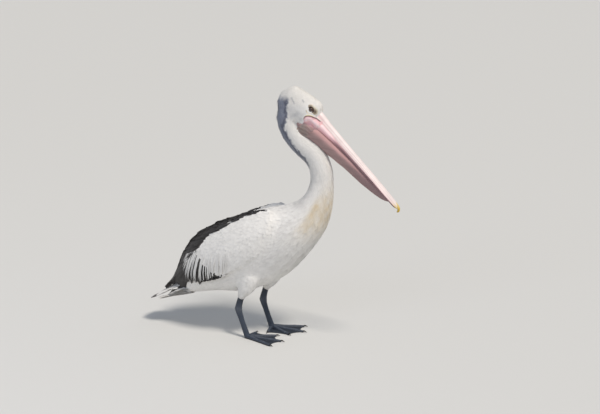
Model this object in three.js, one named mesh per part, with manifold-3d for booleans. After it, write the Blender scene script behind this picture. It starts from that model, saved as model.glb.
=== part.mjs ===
// A standing Australian pelican at life size, as a still model.
// Millimetres, +Z up. The bird faces +X, its left side is +Y, and both soles rest on z = 0.
// The body is divided where a person names its parts: head, eyes, bill, pouch, neck, trunk, wings,
// tail and legs. Each one is a closed solid of its own, with a thin gap to its neighbours.

import * as THREE from 'three';
import { mergeVertices } from 'three/addons/utils/BufferGeometryUtils.js';
import Module from 'manifold-3d';

const wasm = await Module();
wasm.setup();

// ---------------------------------------------------------------- driving dimensions

const GAP = 0.4; // space between neighbouring solids

const BILL_LENGTH = 474; // forehead feathers to the tip of the nail
const BILL_PITCH = THREE.MathUtils.degToRad(47.2); // how far the bill points below the horizon
const BILL_ROOT = [262, 909]; // x and z of the forehead's last feather
const SKULL_CENTRE = [171, 933];
const SKULL_PITCH = THREE.MathUtils.degToRad(38);
const EYE_RADIUS = 10.5;
const EYE_CENTRE = { x: 231, y: 26.5, z: 924 };

const HALF_STANCE = 76; // from the midline to the middle of each leg
const STRIDE = { right: -20, left: 20 }; // how far each foot is ahead of the middle
const TOE_THICKNESS = 8;
const WEB_THICKNESS = 3.2;

// ---------------------------------------------------------------- making closed skins

const Y = new THREE.Vector3(0, 1, 0);

const curve = (points) => new THREE.CatmullRomCurve3(points, false, 'centripetal');

// Joins rings of equal count into one closed skin, with a middle point on each end. The two halves of
// a ring are split along opposite diagonals, so a body that is even left and right has even facets too.
function skinOver(rings) {
  const sides = rings[0].length;
  const points = rings.flat();
  const index = [];
  for (let i = 0; i + 1 < rings.length; i++) {
    for (let j = 0; j < sides; j++) {
      const a = i * sides + j;
      const b = i * sides + ((j + 1) % sides);
      const isFarHalf = Math.abs(j + 0.5 - sides / 2) < sides / 4;
      if (isFarHalf) index.push(a, b, b + sides, a, b + sides, a + sides);
      else index.push(a, b, a + sides, b, b + sides, a + sides);
    }
  }
  for (const [ring, first, isEnd] of [[rings[0], 0, false], [rings.at(-1), points.length - sides, true]]) {
    const middle = ring.reduce((sum, p) => sum.add(p), new THREE.Vector3()).divideScalar(sides);
    const centre = points.push(middle) - 1;
    for (let j = 0; j < sides; j++) {
      const a = first + j;
      const b = first + ((j + 1) % sides);
      index.push(centre, isEnd ? a : b, isEnd ? b : a);
    }
  }
  return new THREE.BufferGeometry().setFromPoints(points).setIndex(index);
}

// How much of its full size a section has near a rounded end of the loft.
function roundedShare(t, startRound, endRound) {
  const nearStart = startRound ? Math.min(1, t / startRound) : 1;
  const nearEnd = endRound ? Math.min(1, (1 - t) / endRound) : 1;
  const share = (near) => Math.sqrt(Math.max(0.02, 1 - (1 - near) ** 2));
  return share(nearStart) * share(nearEnd);
}

// A skin over sections along a smooth line. A key is [x, y, z, half width, height above, depth below].
// from and to keep only that share of the line, grow adds a skin all round, and power is the
// section's superellipse power: 2 is an ellipse, more is boxier and less has a ridge.
function loft(keys, options) {
  const { rings, sides, side = Y, from = 0, to = 1, grow = 0, startRound = 0, endRound = 0, power = 2 } = options;
  const line = curve(keys.map(([x, y, z]) => new THREE.Vector3(x, y, z)));
  const sizes = curve(keys.map(([, , , width, up, down]) => new THREE.Vector3(width, up, down)));
  const made = [];
  for (let i = 0; i < rings; i++) {
    const t = THREE.MathUtils.lerp(from, to, i / (rings - 1));
    const centre = line.getPoint(t);
    const above = line.getTangent(t).cross(side).normalize();
    const share = roundedShare(t, startRound, endRound);
    const size = sizes.getPoint(t).multiplyScalar(share).addScalar(grow);
    const ring = [];
    for (let j = 0; j < sides; j++) {
      const angle = (2 * Math.PI * j) / sides;
      const across = Math.sign(Math.cos(angle)) * Math.abs(Math.cos(angle)) ** (2 / power);
      const up = Math.sign(Math.sin(angle)) * Math.abs(Math.sin(angle)) ** (2 / power);
      ring.push(centre.clone()
        .addScaledVector(side, size.x * across)
        .addScaledVector(above, (up > 0 ? size.y : size.z) * up));
    }
    made.push(ring);
  }
  return skinOver(made);
}

// ---------------------------------------------------------------- joining and cutting

function solid(geometry) {
  const plain = geometry.index ? geometry.toNonIndexed() : geometry.clone();
  plain.deleteAttribute('normal');
  plain.deleteAttribute('uv');
  const merged = mergeVertices(plain, 1e-4);
  return new wasm.Manifold(new wasm.Mesh({
    numProp: 3,
    vertProperties: merged.attributes.position.array,
    triVerts: new Uint32Array(merged.index.array),
  }));
}

function geometryOf(shape) {
  const { vertProperties, triVerts } = shape.getMesh();
  return new THREE.BufferGeometry()
    .setAttribute('position', new THREE.BufferAttribute(vertProperties, 3))
    .setIndex(new THREE.BufferAttribute(triVerts, 1));
}

const cut = (shape, ...tools) => tools.reduce((rest, tool) => rest.subtract(tool), shape);
const join = (...shapes) => shapes.reduce((all, shape) => all.add(shape));
const largest = (shape) => shape.decompose().sort((a, b) => b.volume() - a.volume())[0];

// ---------------------------------------------------------------- materials

const paint = (color, roughness) => new THREE.MeshStandardMaterial({ color, roughness, metalness: 0 });
const WHITE_PLUMAGE = paint('#efeae4', 0.85);
const BLACK_PLUMAGE = paint('#191614', 0.6);
const BILL_HORN = paint('#e8c3bd', 0.4);
const NAIL_HORN = paint('#d8ac3c', 0.4);
const POUCH_SKIN = paint('#b88880', 0.5);
const EYE_GLOSS = paint('#2a1a10', 0.05);
const LEG_SKIN = paint('#3b4654', 0.55);
const CLAW_HORN = paint('#1e1c1b', 0.4);

const pelican = new THREE.Group();

function addPart(name, geometry, material, parent = pelican) {
  const mesh = new THREE.Mesh(geometry, material);
  mesh.name = name;
  parent.add(mesh);
  return mesh;
}

// ---------------------------------------------------------------- trunk and neck
// One line runs from the root of the tail, through the trunk, and up the curved neck into the head.

const BODY_LINE = [
  [-372, 0, 152, 34, 26, 20],
  [-300, 0, 200, 66, 70, 68],
  [-200, 0, 262, 92, 104, 112],
  [-80, 0, 310, 110, 140, 141],
  [30, 0, 362, 117, 152, 142],
  [110, 0, 415, 116, 136, 124],
  [170, 0, 465, 106, 106, 104],
  [215, 0, 520, 84, 72, 90],
  [248, 0, 585, 60, 49, 68],
  [264, 0, 645, 46, 46, 50],
  [259, 0, 700, 44, 46, 46],
  [233, 0, 746, 44, 47, 46],
  [183, 0, 788, 45, 48, 45],
  [140, 0, 842, 43, 49, 43],
  [124, 0, 896, 40, 45, 40],
  [132, 0, 936, 26, 26, 26],
];
const BODY_SIDES = 22;
const BODY_LENGTH = 1430; // along the line, for turning the gap into a share of it
// Where one part ends and the next begins, counted in keys along the line.
const NECK_BASE = 7.3;
const NECK_BEND = 9.3;
const NECK_THROAT = 11.1;
const NECK_END = BODY_LINE.length - 1;

function bodyPiece(fromKey, toKey, rings, grow = 0) {
  const halfGap = GAP / 2 / BODY_LENGTH;
  const from = fromKey / NECK_END + halfGap;
  const to = toKey / NECK_END - halfGap;
  return loft(BODY_LINE, { rings, sides: BODY_SIDES, from, to, startRound: 0.05, grow });
}
const trunkTool = solid(bodyPiece(0, NECK_BASE, 18, GAP));
const upperNeckWhole = solid(bodyPiece(NECK_THROAT, NECK_END, 8));
const neckTool = join(
  solid(bodyPiece(NECK_THROAT, NECK_END, 8, GAP)),
  solid(bodyPiece(NECK_BEND, NECK_THROAT, 6, GAP)),
  solid(bodyPiece(NECK_THROAT - 0.1, NECK_THROAT + 0.1, 3, GAP)),
);

addPart('trunk', bodyPiece(0, NECK_BASE, 18), WHITE_PLUMAGE);
addPart('neck_lower', bodyPiece(NECK_BASE, NECK_BEND, 7), WHITE_PLUMAGE);
addPart('neck_middle', bodyPiece(NECK_BEND, NECK_THROAT, 6), WHITE_PLUMAGE);

// ---------------------------------------------------------------- head and eyes
// The skull is drawn level about its own centre, then tipped forward into place. The crown ends
// behind in the low corner of the nape's short crest.

const SKULL_LINE = [
  [-88, 0, -10, 24, 43, 37],
  [-58, 0, -11, 35, 62, 53],
  [-26, 0, -7, 41, 65, 62],
  [10, 0, -4, 42.5, 67.5, 66],
  [42, 0, 1, 40.5, 67, 60],
  [70, 0, 12, 36.5, 60, 46],
  [101, 0, 21, 29, 49, 36],
];

function tipped(geometry, pitch, [x, z]) {
  return geometry.rotateY(pitch).translate(x, 0, z);
}

const skull = (grow) => solid(tipped(
  loft(SKULL_LINE, { rings: 13, sides: 18, startRound: 0.2, endRound: 0.14, grow }),
  SKULL_PITCH, SKULL_CENTRE));

function eyeBall(ySign, radius) {
  return new THREE.SphereGeometry(radius, 12, 7).rotateX(Math.PI / 2)
    .translate(EYE_CENTRE.x, ySign * EYE_CENTRE.y, EYE_CENTRE.z);
}

// ---------------------------------------------------------------- bill and pouch
// The bill is drawn along +X from the forehead, then pitched down. Its upper half is flat and broad
// near the tip and ends in a hooked nail. The skin pouch hangs from the lower half.

const MAXILLA_LINE = [
  [-40, 0, -31, 19, 24, 9],
  [0, 0, -27, 22, 30, 8],
  [60, 0, -23, 19.5, 24, 7],
  [130, 0, -19, 17.5, 20, 6],
  [220, 0, -15, 17, 17, 5],
  [310, 0, -10.5, 19, 14, 4],
  [390, 0, -7.5, 22, 11, 3.5],
  [438, 0, -6.5, 20, 8.5, 3.5],
  [464, 0, -7.5, 11, 6, 3.5],
];
const NAIL_LINE = [
  [434, 0, 1, 3, 1.5, 3],
  [450, 0, -1, 6, 3.5, 5],
  [464, 0, -5, 6.5, 4, 6],
  [BILL_LENGTH - 4, 0, -12.5, 5, 4, 5],
  [BILL_LENGTH - 5, 0, -20.5, 2.5, 2, 2.5],
];
const MANDIBLE_LINE = [
  [-34, 0, -52, 25, 22, 22],
  [0, 0, -40, 28.5, 21, 22],
  [40, 0, -34, 27, 20, 17],
  [85, 0, -29, 23.5, 16, 13],
  [130, 0, -25.5, 20.5, 12, 10.5],
  [220, 0, -21, 16.5, 7, 8.5],
  [310, 0, -16, 17.5, 5, 7],
  [390, 0, -11.5, 20, 4.5, 5.5],
  [444, 0, -10, 17, 4, 4],
  [460, 0, -10.5, 8, 3.5, 3.5],
];
const POUCH_LINE = [
  [-46, 0, -76, 28, 26, 28],
  [-20, 0, -74, 34, 30, 37],
  [30, 0, -66, 32, 30, 45],
  [90, 0, -56, 25.5, 26, 42],
  [150, 0, -47, 20.5, 21, 37],
  [220, 0, -38, 17, 17, 32],
  [290, 0, -29, 14.5, 12, 31],
  [360, 0, -21, 12, 8, 24],
  [420, 0, -15.5, 9, 4, 11],
];

const billPart = (keys, grow, options) => solid(tipped(
  loft(keys, { rings: 12, sides: 13, ...options, grow }), BILL_PITCH, BILL_ROOT));
const maxilla = (grow) => billPart(MAXILLA_LINE, grow, { power: 1.8, endRound: 0.12 });
const nail = (grow) => billPart(NAIL_LINE, grow, { rings: 7, sides: 8, endRound: 0.1 });
const mandible = (grow) => billPart(MANDIBLE_LINE, grow, { power: 2.4, endRound: 0.12 });
const pouch = (grow) => billPart(POUCH_LINE, grow, { power: 1.8, startRound: 0.1, endRound: 0.06 });

const upperBill = largest(cut(maxilla(0), nail(GAP)));
const lowerBill = largest(cut(mandible(0), maxilla(GAP), nail(GAP)));
const pouchBag = largest(cut(pouch(0), maxilla(GAP), mandible(GAP), neckTool));
const billTool = join(maxilla(GAP), mandible(GAP), pouch(GAP));

const sockets = [-1, 1].map((ySign) => solid(eyeBall(ySign, EYE_RADIUS + GAP)));
addPart('head', geometryOf(largest(cut(skull(0), billTool, ...sockets))), WHITE_PLUMAGE);
addPart('neck_upper', geometryOf(largest(cut(upperNeckWhole, skull(GAP)))), WHITE_PLUMAGE);
addPart('bill_upper', geometryOf(upperBill), BILL_HORN);
addPart('bill_nail', geometryOf(nail(0)), NAIL_HORN);
addPart('bill_lower', geometryOf(lowerBill), BILL_HORN);
addPart('pouch', geometryOf(pouchBag), POUCH_SKIN);
addPart('eye_right', eyeBall(-1, EYE_RADIUS), EYE_GLOSS);
addPart('eye_left', eyeBall(1, EYE_RADIUS), EYE_GLOSS);

// ---------------------------------------------------------------- tail
// Short and stiff, a shallow fan that slopes on down from the rump.

const TAIL_LINE = [
  [-330, 0, 172, 38, 20, 18],
  [-372, 0, 152, 48, 18, 16],
  [-420, 0, 129, 58, 11, 12],
  [-458, 0, 112, 60, 6, 6],
  [-484, 0, 99, 46, 2.5, 2.5],
];
const tailWhole = solid(loft(TAIL_LINE, { rings: 8, sides: 12, side: Y.clone().negate(), endRound: 0.14 }));

// ---------------------------------------------------------------- wings
// A folded wing hugs the side of the trunk. It is a skin over rails that run from the shoulder back
// to the wing tip: along its top edge, its fullest part and its lower edge. A fourth rail inside
// the trunk closes it, and the trunk cuts that away. They are drawn for the left side.

const WING_RAILS = {
  top: [[122, 68, 538], [51, 66, 534], [-37, 62, 505], [-117, 58, 469], [-188, 50, 444], [-245, 46, 409],
    [-289, 42, 366], [-325, 38, 305], [-350, 34, 244], [-377, 32, 198], [-408, 30, 158]],
  full: [[128, 108, 502], [62, 127, 474], [-10, 136, 436], [-80, 137, 393], [-145, 129, 345], [-205, 115, 305],
    [-255, 98, 272], [-300, 80, 243], [-338, 62, 216], [-374, 48, 188], [-408, 35, 155]],
  low: [[116, 108, 462], [84, 122, 408], [34, 128, 345], [-30, 127, 294], [-98, 119, 258], [-160, 107, 230],
    [-214, 93, 212], [-264, 78, 207], [-312, 62, 200], [-358, 47, 183], [-408, 34, 152]],
};
const WING_ROOT_INSET = 0.42; // how near the midline the closing rail runs, as a share of the edges' distance
const WING_RINGS = 17;
const OUTER_STEPS = 8;
const INNER_STEPS = 3;

// The point a share s of the way along the parabola that passes through a at 0, b at 1/2 and c at 1.
function throughThree(a, b, c, s) {
  return new THREE.Vector3()
    .addScaledVector(a, (1 - s) * (1 - 2 * s))
    .addScaledVector(b, 4 * s * (1 - s))
    .addScaledVector(c, s * (2 * s - 1));
}

function wingSkin() {
  const [top, full, low] = ['top', 'full', 'low']
    .map((rail) => curve(WING_RAILS[rail].map((p) => new THREE.Vector3(...p))));
  const rings = [];
  for (let i = 0; i < WING_RINGS; i++) {
    const t = i / (WING_RINGS - 1);
    const [a, b, c] = [top, full, low].map((rail) => rail.getPoint(t));
    const shrink = roundedShare(t, 0.08, 0);
    const middle = a.clone().add(c).divideScalar(2);
    [a, b, c].forEach((p) => p.lerp(middle, 1 - shrink));
    const inner = middle.clone();
    inner.y = Math.max(middle.y * WING_ROOT_INSET, middle.y - 46);
    const ring = [];
    for (let j = 0; j <= OUTER_STEPS; j++) ring.push(throughThree(c, b, a, j / OUTER_STEPS));
    for (let j = 1; j <= INNER_STEPS; j++) ring.push(throughThree(a, inner, c, j / (INNER_STEPS + 1)));
    rings.push(ring.reverse());
  }
  return skinOver(rings);
}

const wingWhole = cut(solid(wingSkin()), trunkTool);
// The flight feathers part from the coverts along one slanting cut.
const FLIGHT_CUT = { x: -215, z: 320, slope: THREE.MathUtils.degToRad(38) };
const flightSlit = solid(new THREE.BoxGeometry(GAP, 400, 600)
  .rotateY(FLIGHT_CUT.slope).translate(FLIGHT_CUT.x, 0, FLIGHT_CUT.z));
const wingPieces = cut(wingWhole, flightSlit).decompose()
  .sort((a, b) => b.volume() - a.volume()).slice(0, 2)
  .sort((a, b) => b.boundingBox().max[0] - a.boundingBox().max[0]);
const [covertGeometry, flightGeometry] = wingPieces.map(geometryOf);
for (const [side, ySign] of [['right', -1], ['left', 1]]) {
  addPart(`wing_${side}`, covertGeometry, WHITE_PLUMAGE).scale.y = ySign;
  addPart(`flight_feathers_${side}`, flightGeometry, BLACK_PLUMAGE).scale.y = ySign;
}

addPart('tail', geometryOf(largest(cut(tailWhole, trunkTool))), BLACK_PLUMAGE);

// ---------------------------------------------------------------- legs
// Each leg is drawn about its foot joint: a feathered thigh, a flat-sided shank and a webbed foot.

const THIGH_LINE = [
  [20, 0, 262, 34, 46, 46],
  [-2, 0, 212, 31, 38, 40],
  [-20, 0, 180, 20, 24, 25],
  [-28, 0, 160, 13, 15, 15],
];
const SHANK_LINE = [
  [-26, 0, 168, 9.5, 12, 12],
  [-34, 0, 140, 10, 12.5, 12.5],
  [-39, 0, 118, 12.5, 16, 15],
  [-32, 0, 94, 8.5, 11.5, 11.5],
  [-19, 0, 56, 8, 11, 11],
  [-7, 0, 24, 9, 12, 12],
  [-1, 0, 9, 9.5, 12.5, 12.5],
];
// Toes by name: reach from the joint, and the way it points from straight ahead, outwards.
const TOES = [
  { reach: 132, splay: 24 },
  { reach: 142, splay: -3 },
  { reach: 116, splay: -31 },
  { reach: 66, splay: -82 },
];
const WEB_SCALLOP = 0.84; // how far out the web's edge reaches between two toes
const CLAW_LENGTH = 15;

function toeLine({ reach, splay }) {
  const angle = THREE.MathUtils.degToRad(splay);
  const along = new THREE.Vector3(Math.cos(angle), Math.sin(angle), 0);
  const key = (distance, height, width) => [
    along.x * distance, along.y * distance, height, width, width * 0.8, TOE_THICKNESS];
  return { along, keys: [key(0, 8, 10), key(reach * 0.4, 6, 6.5), key(reach * 0.75, 5.2, 6), key(reach, 4.6, 4.2)] };
}

function footWhole() {
  const outline = new THREE.Shape();
  const tips = TOES.map((toe) => toeLine(toe).along.multiplyScalar(toe.reach * 0.97));
  outline.moveTo(-10, 6);
  tips.forEach((tip, i) => {
    if (i === 0) return outline.lineTo(tip.x, tip.y);
    const between = tip.clone().add(tips[i - 1]).divideScalar(2).multiplyScalar(WEB_SCALLOP);
    return outline.quadraticCurveTo(between.x, between.y, tip.x, tip.y);
  });
  outline.lineTo(-10, -6);
  const web = solid(new THREE.ExtrudeGeometry(outline, { depth: WEB_THICKNESS, bevelEnabled: false, curveSegments: 3 }));
  const toes = TOES.map((toe) => {
    const { along, keys } = toeLine(toe);
    const side = new THREE.Vector3(-along.y, along.x, 0);
    return solid(loft(keys, { rings: 4, sides: 6, side }));
  });
  const heel = solid(loft([[-16, 0, 7, 7, 5, 8], [-2, 0, 9, 12, 8, 10], [12, 0, 8, 11, 6, 9]],
    { rings: 4, sides: 8, startRound: 0.3 }));
  const underFloor = solid(new THREE.BoxGeometry(600, 600, 100).translate(0, 0, -50));
  return cut(join(web, ...toes, heel), underFloor);
}

function claw(toe) {
  const { along } = toeLine(toe);
  const side = new THREE.Vector3(-along.y, along.x, 0);
  const key = (distance, height, width) => [
    along.x * (toe.reach + distance), along.y * (toe.reach + distance), height, width, width, width];
  return loft([key(GAP, 5, 3.2), key(CLAW_LENGTH * 0.5, 5.2, 2.7), key(CLAW_LENGTH, 2.2, 0.9)],
    { rings: 4, sides: 6, side });
}

const shank = (grow) => loft(SHANK_LINE, { rings: 10, sides: 10, grow });
const shankTool = solid(shank(GAP));
const footGeometry = geometryOf(largest(cut(footWhole(), shankTool)));
for (const [side, ySign] of [['right', -1], ['left', 1]]) {
  const leg = new THREE.Group();
  leg.position.set(STRIDE[side], ySign * HALF_STANCE, 0);
  leg.scale.y = ySign;
  pelican.add(leg);
  addPart(`shank_${side}`, shank(0), LEG_SKIN, leg);
  addPart(`foot_${side}`, footGeometry, LEG_SKIN, leg);
  TOES.forEach((toe, i) => addPart(`claw_${side}_${i + 1}`, claw(toe), CLAW_HORN, leg));
  const inPlace = (geometry) => solid(geometry.translate(STRIDE[side], ySign * HALF_STANCE, 0));
  const thigh = inPlace(loft(THIGH_LINE, { rings: 7, sides: 14 }));
  addPart(`thigh_${side}`, geometryOf(largest(cut(thigh, inPlace(shank(GAP)), trunkTool))), WHITE_PLUMAGE);
}

// The part's origin is on the floor, under the middle of the bird's length.
const bounds = new THREE.Box3().setFromObject(pelican);
const middle = bounds.getCenter(new THREE.Vector3());
pelican.position.set(-middle.x, -middle.y, -bounds.min.z);

export default pelican;
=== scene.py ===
"""A life-size Australian pelican standing at rest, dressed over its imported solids.

Metres, +Z up. The bird faces +X and its right side is -Y. The sizes of its parts are written in
millimetres in the bird's own drawing, and placed() brings them into the frame.
"""

import math

import bpy
import numpy as np
from mathutils import Matrix, Vector
from mathutils.bvhtree import BVHTree


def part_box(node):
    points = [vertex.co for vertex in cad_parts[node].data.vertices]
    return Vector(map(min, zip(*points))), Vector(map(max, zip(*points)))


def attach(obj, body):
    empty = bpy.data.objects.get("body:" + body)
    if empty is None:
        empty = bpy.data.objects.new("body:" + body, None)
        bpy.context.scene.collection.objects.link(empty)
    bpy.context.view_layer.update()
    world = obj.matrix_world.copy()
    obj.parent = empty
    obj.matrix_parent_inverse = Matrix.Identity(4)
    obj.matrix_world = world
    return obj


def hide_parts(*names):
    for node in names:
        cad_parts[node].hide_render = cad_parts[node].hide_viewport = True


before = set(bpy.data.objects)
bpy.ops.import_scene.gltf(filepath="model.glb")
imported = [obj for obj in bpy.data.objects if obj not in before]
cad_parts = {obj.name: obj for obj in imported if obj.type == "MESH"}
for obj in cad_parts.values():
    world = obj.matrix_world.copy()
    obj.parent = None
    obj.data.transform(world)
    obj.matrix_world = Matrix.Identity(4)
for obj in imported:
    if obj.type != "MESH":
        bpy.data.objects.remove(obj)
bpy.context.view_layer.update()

# ---------------------------------------------------------------- the studio
# A plain pale floor that runs past the edges of the view, under a pale sky. A broad warm light
# falls from high in front of the bird, and a cool lamp fills the side that the camera sees.

FLOOR_SIZE = 240.0
CAMERA_PLACE = (1.6845, -3.852, 1.5)
CAMERA_DIP = math.radians(13.05)
CAMERA_HEADING = math.radians(22.0)
CAMERA_LENS = 66.0
KEY_FROM = (2.0, -1.15, 3.6)
KEY_POWER = 2.4
KEY_SPREAD = math.radians(14)
FILL_PLACE = (-1.2, -4.2, 2.3)
FILL_AIM = (0, 0, 0.6)
FILL_POWER = 26
FILL_SIZE = 2.0
SKY_STRENGTH = 0.46


def linear(red, green, blue):
    """A colour written as 0 to 255 screen values, as the linear values that a shader takes."""
    screen = [channel / 255 for channel in (red, green, blue)]
    return tuple(c / 12.92 if c < 0.04045 else ((c + 0.055) / 1.055) ** 2.4 for c in screen)


def plain_material(name, roughness, **settings):
    """A new material, its node tree and its Principled shader, with constant values on the shader."""
    material = bpy.data.materials.new(name)
    material.use_nodes = True
    tree = material.node_tree
    shader = tree.nodes["Principled BSDF"]
    shader.inputs["Roughness"].default_value = roughness
    for socket, value in settings.items():
        shader.inputs[socket.replace("_", " ")].default_value = value
    return material, tree, shader


bpy.ops.object.select_all(action="DESELECT")
bpy.ops.mesh.primitive_plane_add(size=FLOOR_SIZE)
floor = bpy.context.object
floor.name = "studio_floor"
floor_paint, tree, shader = plain_material("floor_paint", 0.85)
shader.inputs["Base Color"].default_value = (*linear(214, 214, 212), 1)
floor.data.materials.append(floor_paint)

bpy.ops.object.camera_add(
    location=CAMERA_PLACE, rotation=(math.pi / 2 - CAMERA_DIP, 0, CAMERA_HEADING))
camera = bpy.context.object
camera.data.lens = CAMERA_LENS
bpy.context.scene.camera = camera

bpy.ops.object.light_add(type="SUN", rotation=Vector(KEY_FROM).to_track_quat("Z", "Y").to_euler())
key_light = bpy.context.object
key_light.name = "key_light"
key_light.data.energy = KEY_POWER
key_light.data.angle = KEY_SPREAD
key_light.data.color = linear(255, 247, 236)
bpy.ops.object.light_add(
    type="AREA", location=FILL_PLACE,
    rotation=(Vector(FILL_PLACE) - Vector(FILL_AIM)).to_track_quat("Z", "Y").to_euler())
fill_light = bpy.context.object
fill_light.name = "fill_light"
fill_light.data.size = FILL_SIZE
fill_light.data.energy = FILL_POWER
fill_light.data.color = linear(220, 232, 255)

sky = bpy.data.worlds.new("pale_sky")
sky.use_nodes = True
sky.node_tree.nodes["Background"].inputs["Color"].default_value = (*linear(226, 232, 242), 1)
sky.node_tree.nodes["Background"].inputs["Strength"].default_value = SKY_STRENGTH
bpy.context.scene.world = sky
bpy.context.scene.view_settings.view_transform = "Standard"

# ---------------------------------------------------------------- the skin
# One seamless hide over trunk, neck, head, wings and thighs. It is the flesh solids run together,
# with the roots of the bill, smoothed, and pulled in by the depth of the coat that covers it.

MM = 0.001
SIDES = (("right", -1), ("left", 1))
eye_low, eye_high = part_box("eye_right")
EYE = (231.0, 26.5, 924.0)
DRAWING_SHIFT = np.array(((eye_low.x + eye_high.x) / 2 - EYE[0] * MM, 0, 0))

# x and z of the line from the tail's root through the trunk and neck to the forehead.
SPINE = [
    (-372, 152), (-300, 200), (-200, 262), (-80, 310), (30, 362), (110, 415), (170, 465), (215, 520),
    (248, 585), (264, 645), (259, 700), (233, 746), (183, 788), (140, 842), (124, 896), (138, 938),
    (184, 948), (240, 916),
]
# Station of the neck's root on that line, counted in its points.
NECK_ROOT = 7.3
SKIN_GRAIN = 0.0035
BILL_ROOT = (262.0, 909.0)
BILL_PITCH = math.radians(47.2)
BILL_STUB = 6.0
FLESH = (
    "trunk", "neck_lower", "neck_middle", "neck_upper", "head", "thigh_right", "thigh_left",
    "wing_right", "wing_left", "flight_feathers_right", "flight_feathers_left",
)


def placed(points):
    """Places in the drawing, in millimetres, as places in the frame."""
    return np.asarray(points, float) * MM + DRAWING_SHIFT


def drawn(points):
    """Places in the frame as places in the drawing, in millimetres."""
    return (np.asarray(points, float) - DRAWING_SHIFT) / MM


def mirrored(points):
    """Places folded over to the bird's left side."""
    return points * (1, 0, 1) + np.abs(points) * (0, 1, 0)


def eye_distance(points):
    """How far each place is from the middle of the eye on its side, in metres."""
    return np.linalg.norm(mirrored(points) - placed(EYE), axis=1)


def read_off(table, values):
    """A table's second column at these values of its first."""
    return np.interp(values, *np.transpose(table))


def through(keys, shares):
    """Points on the smooth line through the keys, at shares of its count of keys."""
    keys = np.asarray(keys, float)
    last = len(keys) - 1
    place = np.clip(np.asarray(shares, float), 0, 1) * last
    first = np.minimum(place.astype(int), last - 1)
    t = (place - first)[:, None]
    padded = np.vstack([2 * keys[0] - keys[1], keys, 2 * keys[-1] - keys[-2]])
    a, b, c, d = (padded[first + i] for i in range(4))
    steps = [np.sqrt(np.linalg.norm(q - p, axis=1)[:, None] + 1e-12) for p, q in ((a, b), (b, c), (c, d))]
    ab, bc, cd = steps
    leaving = ((b - a) / ab - (c - a) / (ab + bc) + (c - b) / bc) * bc
    coming = ((c - b) / bc - (d - b) / (bc + cd) + (d - c) / cd) * bc
    return (b + leaving * t + (3 * (c - b) - 2 * leaving - coming) * t**2
            + (2 * (b - c) + leaving + coming) * t**3)


def unit(vectors):
    return vectors / np.maximum(np.linalg.norm(vectors, axis=-1, keepdims=True), 1e-12)


def pick(thing):
    """Makes one object the only chosen and the active one."""
    bpy.ops.object.select_all(action="DESELECT")
    thing.select_set(True)
    bpy.context.view_layer.objects.active = thing


def worked(thing, kind, **settings):
    """Gives an object one modifier and applies it."""
    modifier = thing.modifiers.new(kind.lower(), kind)
    for setting, value in settings.items():
        setattr(modifier, setting, value)
    pick(thing)
    bpy.ops.object.modifier_apply(modifier=modifier.name)


def merged_copy(name, nodes):
    """One mesh of copies of these solids, with each solid's triangles joined up."""
    copies = []
    for node in nodes:
        copy = bpy.data.objects.new(name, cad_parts[node].data.copy())
        bpy.context.scene.collection.objects.link(copy)
        copies.append(copy)
    bpy.ops.object.select_all(action="DESELECT")
    for copy in copies:
        copy.select_set(True)
    bpy.context.view_layer.objects.active = copies[0]
    if len(copies) > 1:
        bpy.ops.object.join()
    whole = bpy.context.object
    whole.data.materials.clear()
    bpy.ops.object.mode_set(mode="EDIT")
    bpy.ops.mesh.select_all(action="SELECT")
    bpy.ops.mesh.remove_doubles(threshold=0.00005)
    bpy.ops.object.mode_set(mode="OBJECT")
    return whole


def read_points(mesh, what="co"):
    """All places, or normals, of a mesh's points."""
    values = np.empty(len(mesh.vertices) * 3)
    if what == "co":
        mesh.vertices.foreach_get("co", values)
    else:
        mesh.vertex_normals.foreach_get("vector", values)
    return values.reshape(-1, 3)


def tree_of(thing):
    """A search tree over an object's faces."""
    return BVHTree.FromPolygons(
        [v.co for v in thing.data.vertices], [p.vertices for p in thing.data.polygons])


bill_axis = np.array((math.cos(BILL_PITCH), 0, -math.sin(BILL_PITCH)))
bill_stub = merged_copy("bill_stub", ("bill_upper", "bill_lower", "pouch"))
bill_tree = tree_of(bill_stub)
stub_end = placed((BILL_ROOT[0], 0, BILL_ROOT[1])) + bill_axis * BILL_STUB * MM
pick(bill_stub)
bpy.ops.object.mode_set(mode="EDIT")
bpy.ops.mesh.select_all(action="SELECT")
bpy.ops.mesh.bisect(plane_co=stub_end, plane_no=bill_axis, use_fill=True, clear_outer=True)
bpy.ops.object.mode_set(mode="OBJECT")

skin = merged_copy("skin", FLESH)
skin.select_set(True)
bill_stub.select_set(True)
bpy.context.view_layer.objects.active = skin
bpy.ops.object.join()
skin.name = "skin"
worked(skin, "DISPLACE", strength=0.0006, mid_level=0.0)
worked(skin, "REMESH", mode="VOXEL", voxel_size=SKIN_GRAIN)
worked(skin, "SMOOTH", factor=0.5, iterations=9)

# Where every point of the hide lies along and around the spine.
spine_shares = np.linspace(0, 1, 701)
spine_line = placed(np.insert(through(SPINE, spine_shares), 1, 0, axis=1))
spine_tangents = unit(np.gradient(spine_line, axis=0))
spine_run = np.concatenate([[0], np.cumsum(np.linalg.norm(np.diff(spine_line, axis=0), axis=1))])
SPINE_LAST = len(SPINE) - 1


def along_spine(points):
    """Each point's station on the spine, its share of the run, the turn from the back, and the tangent."""
    nearest = np.empty(len(points), int)
    for start in range(0, len(points), 4000):
        chunk = points[start:start + 4000]
        gaps = ((chunk[:, None, [0, 2]] - spine_line[None, :, [0, 2]]) ** 2).sum(axis=2)
        nearest[start:start + 4000] = gaps.argmin(axis=1)
    tangent = spine_tangents[nearest]
    above = np.stack([-tangent[:, 2], np.zeros(len(points)), tangent[:, 0]], axis=1)
    offset = points - spine_line[nearest]
    turn = np.arctan2(offset[:, 1], (offset * above).sum(axis=1))
    return spine_shares[nearest] * SPINE_LAST, spine_run[nearest] / spine_run[-1], turn, tangent


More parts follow.
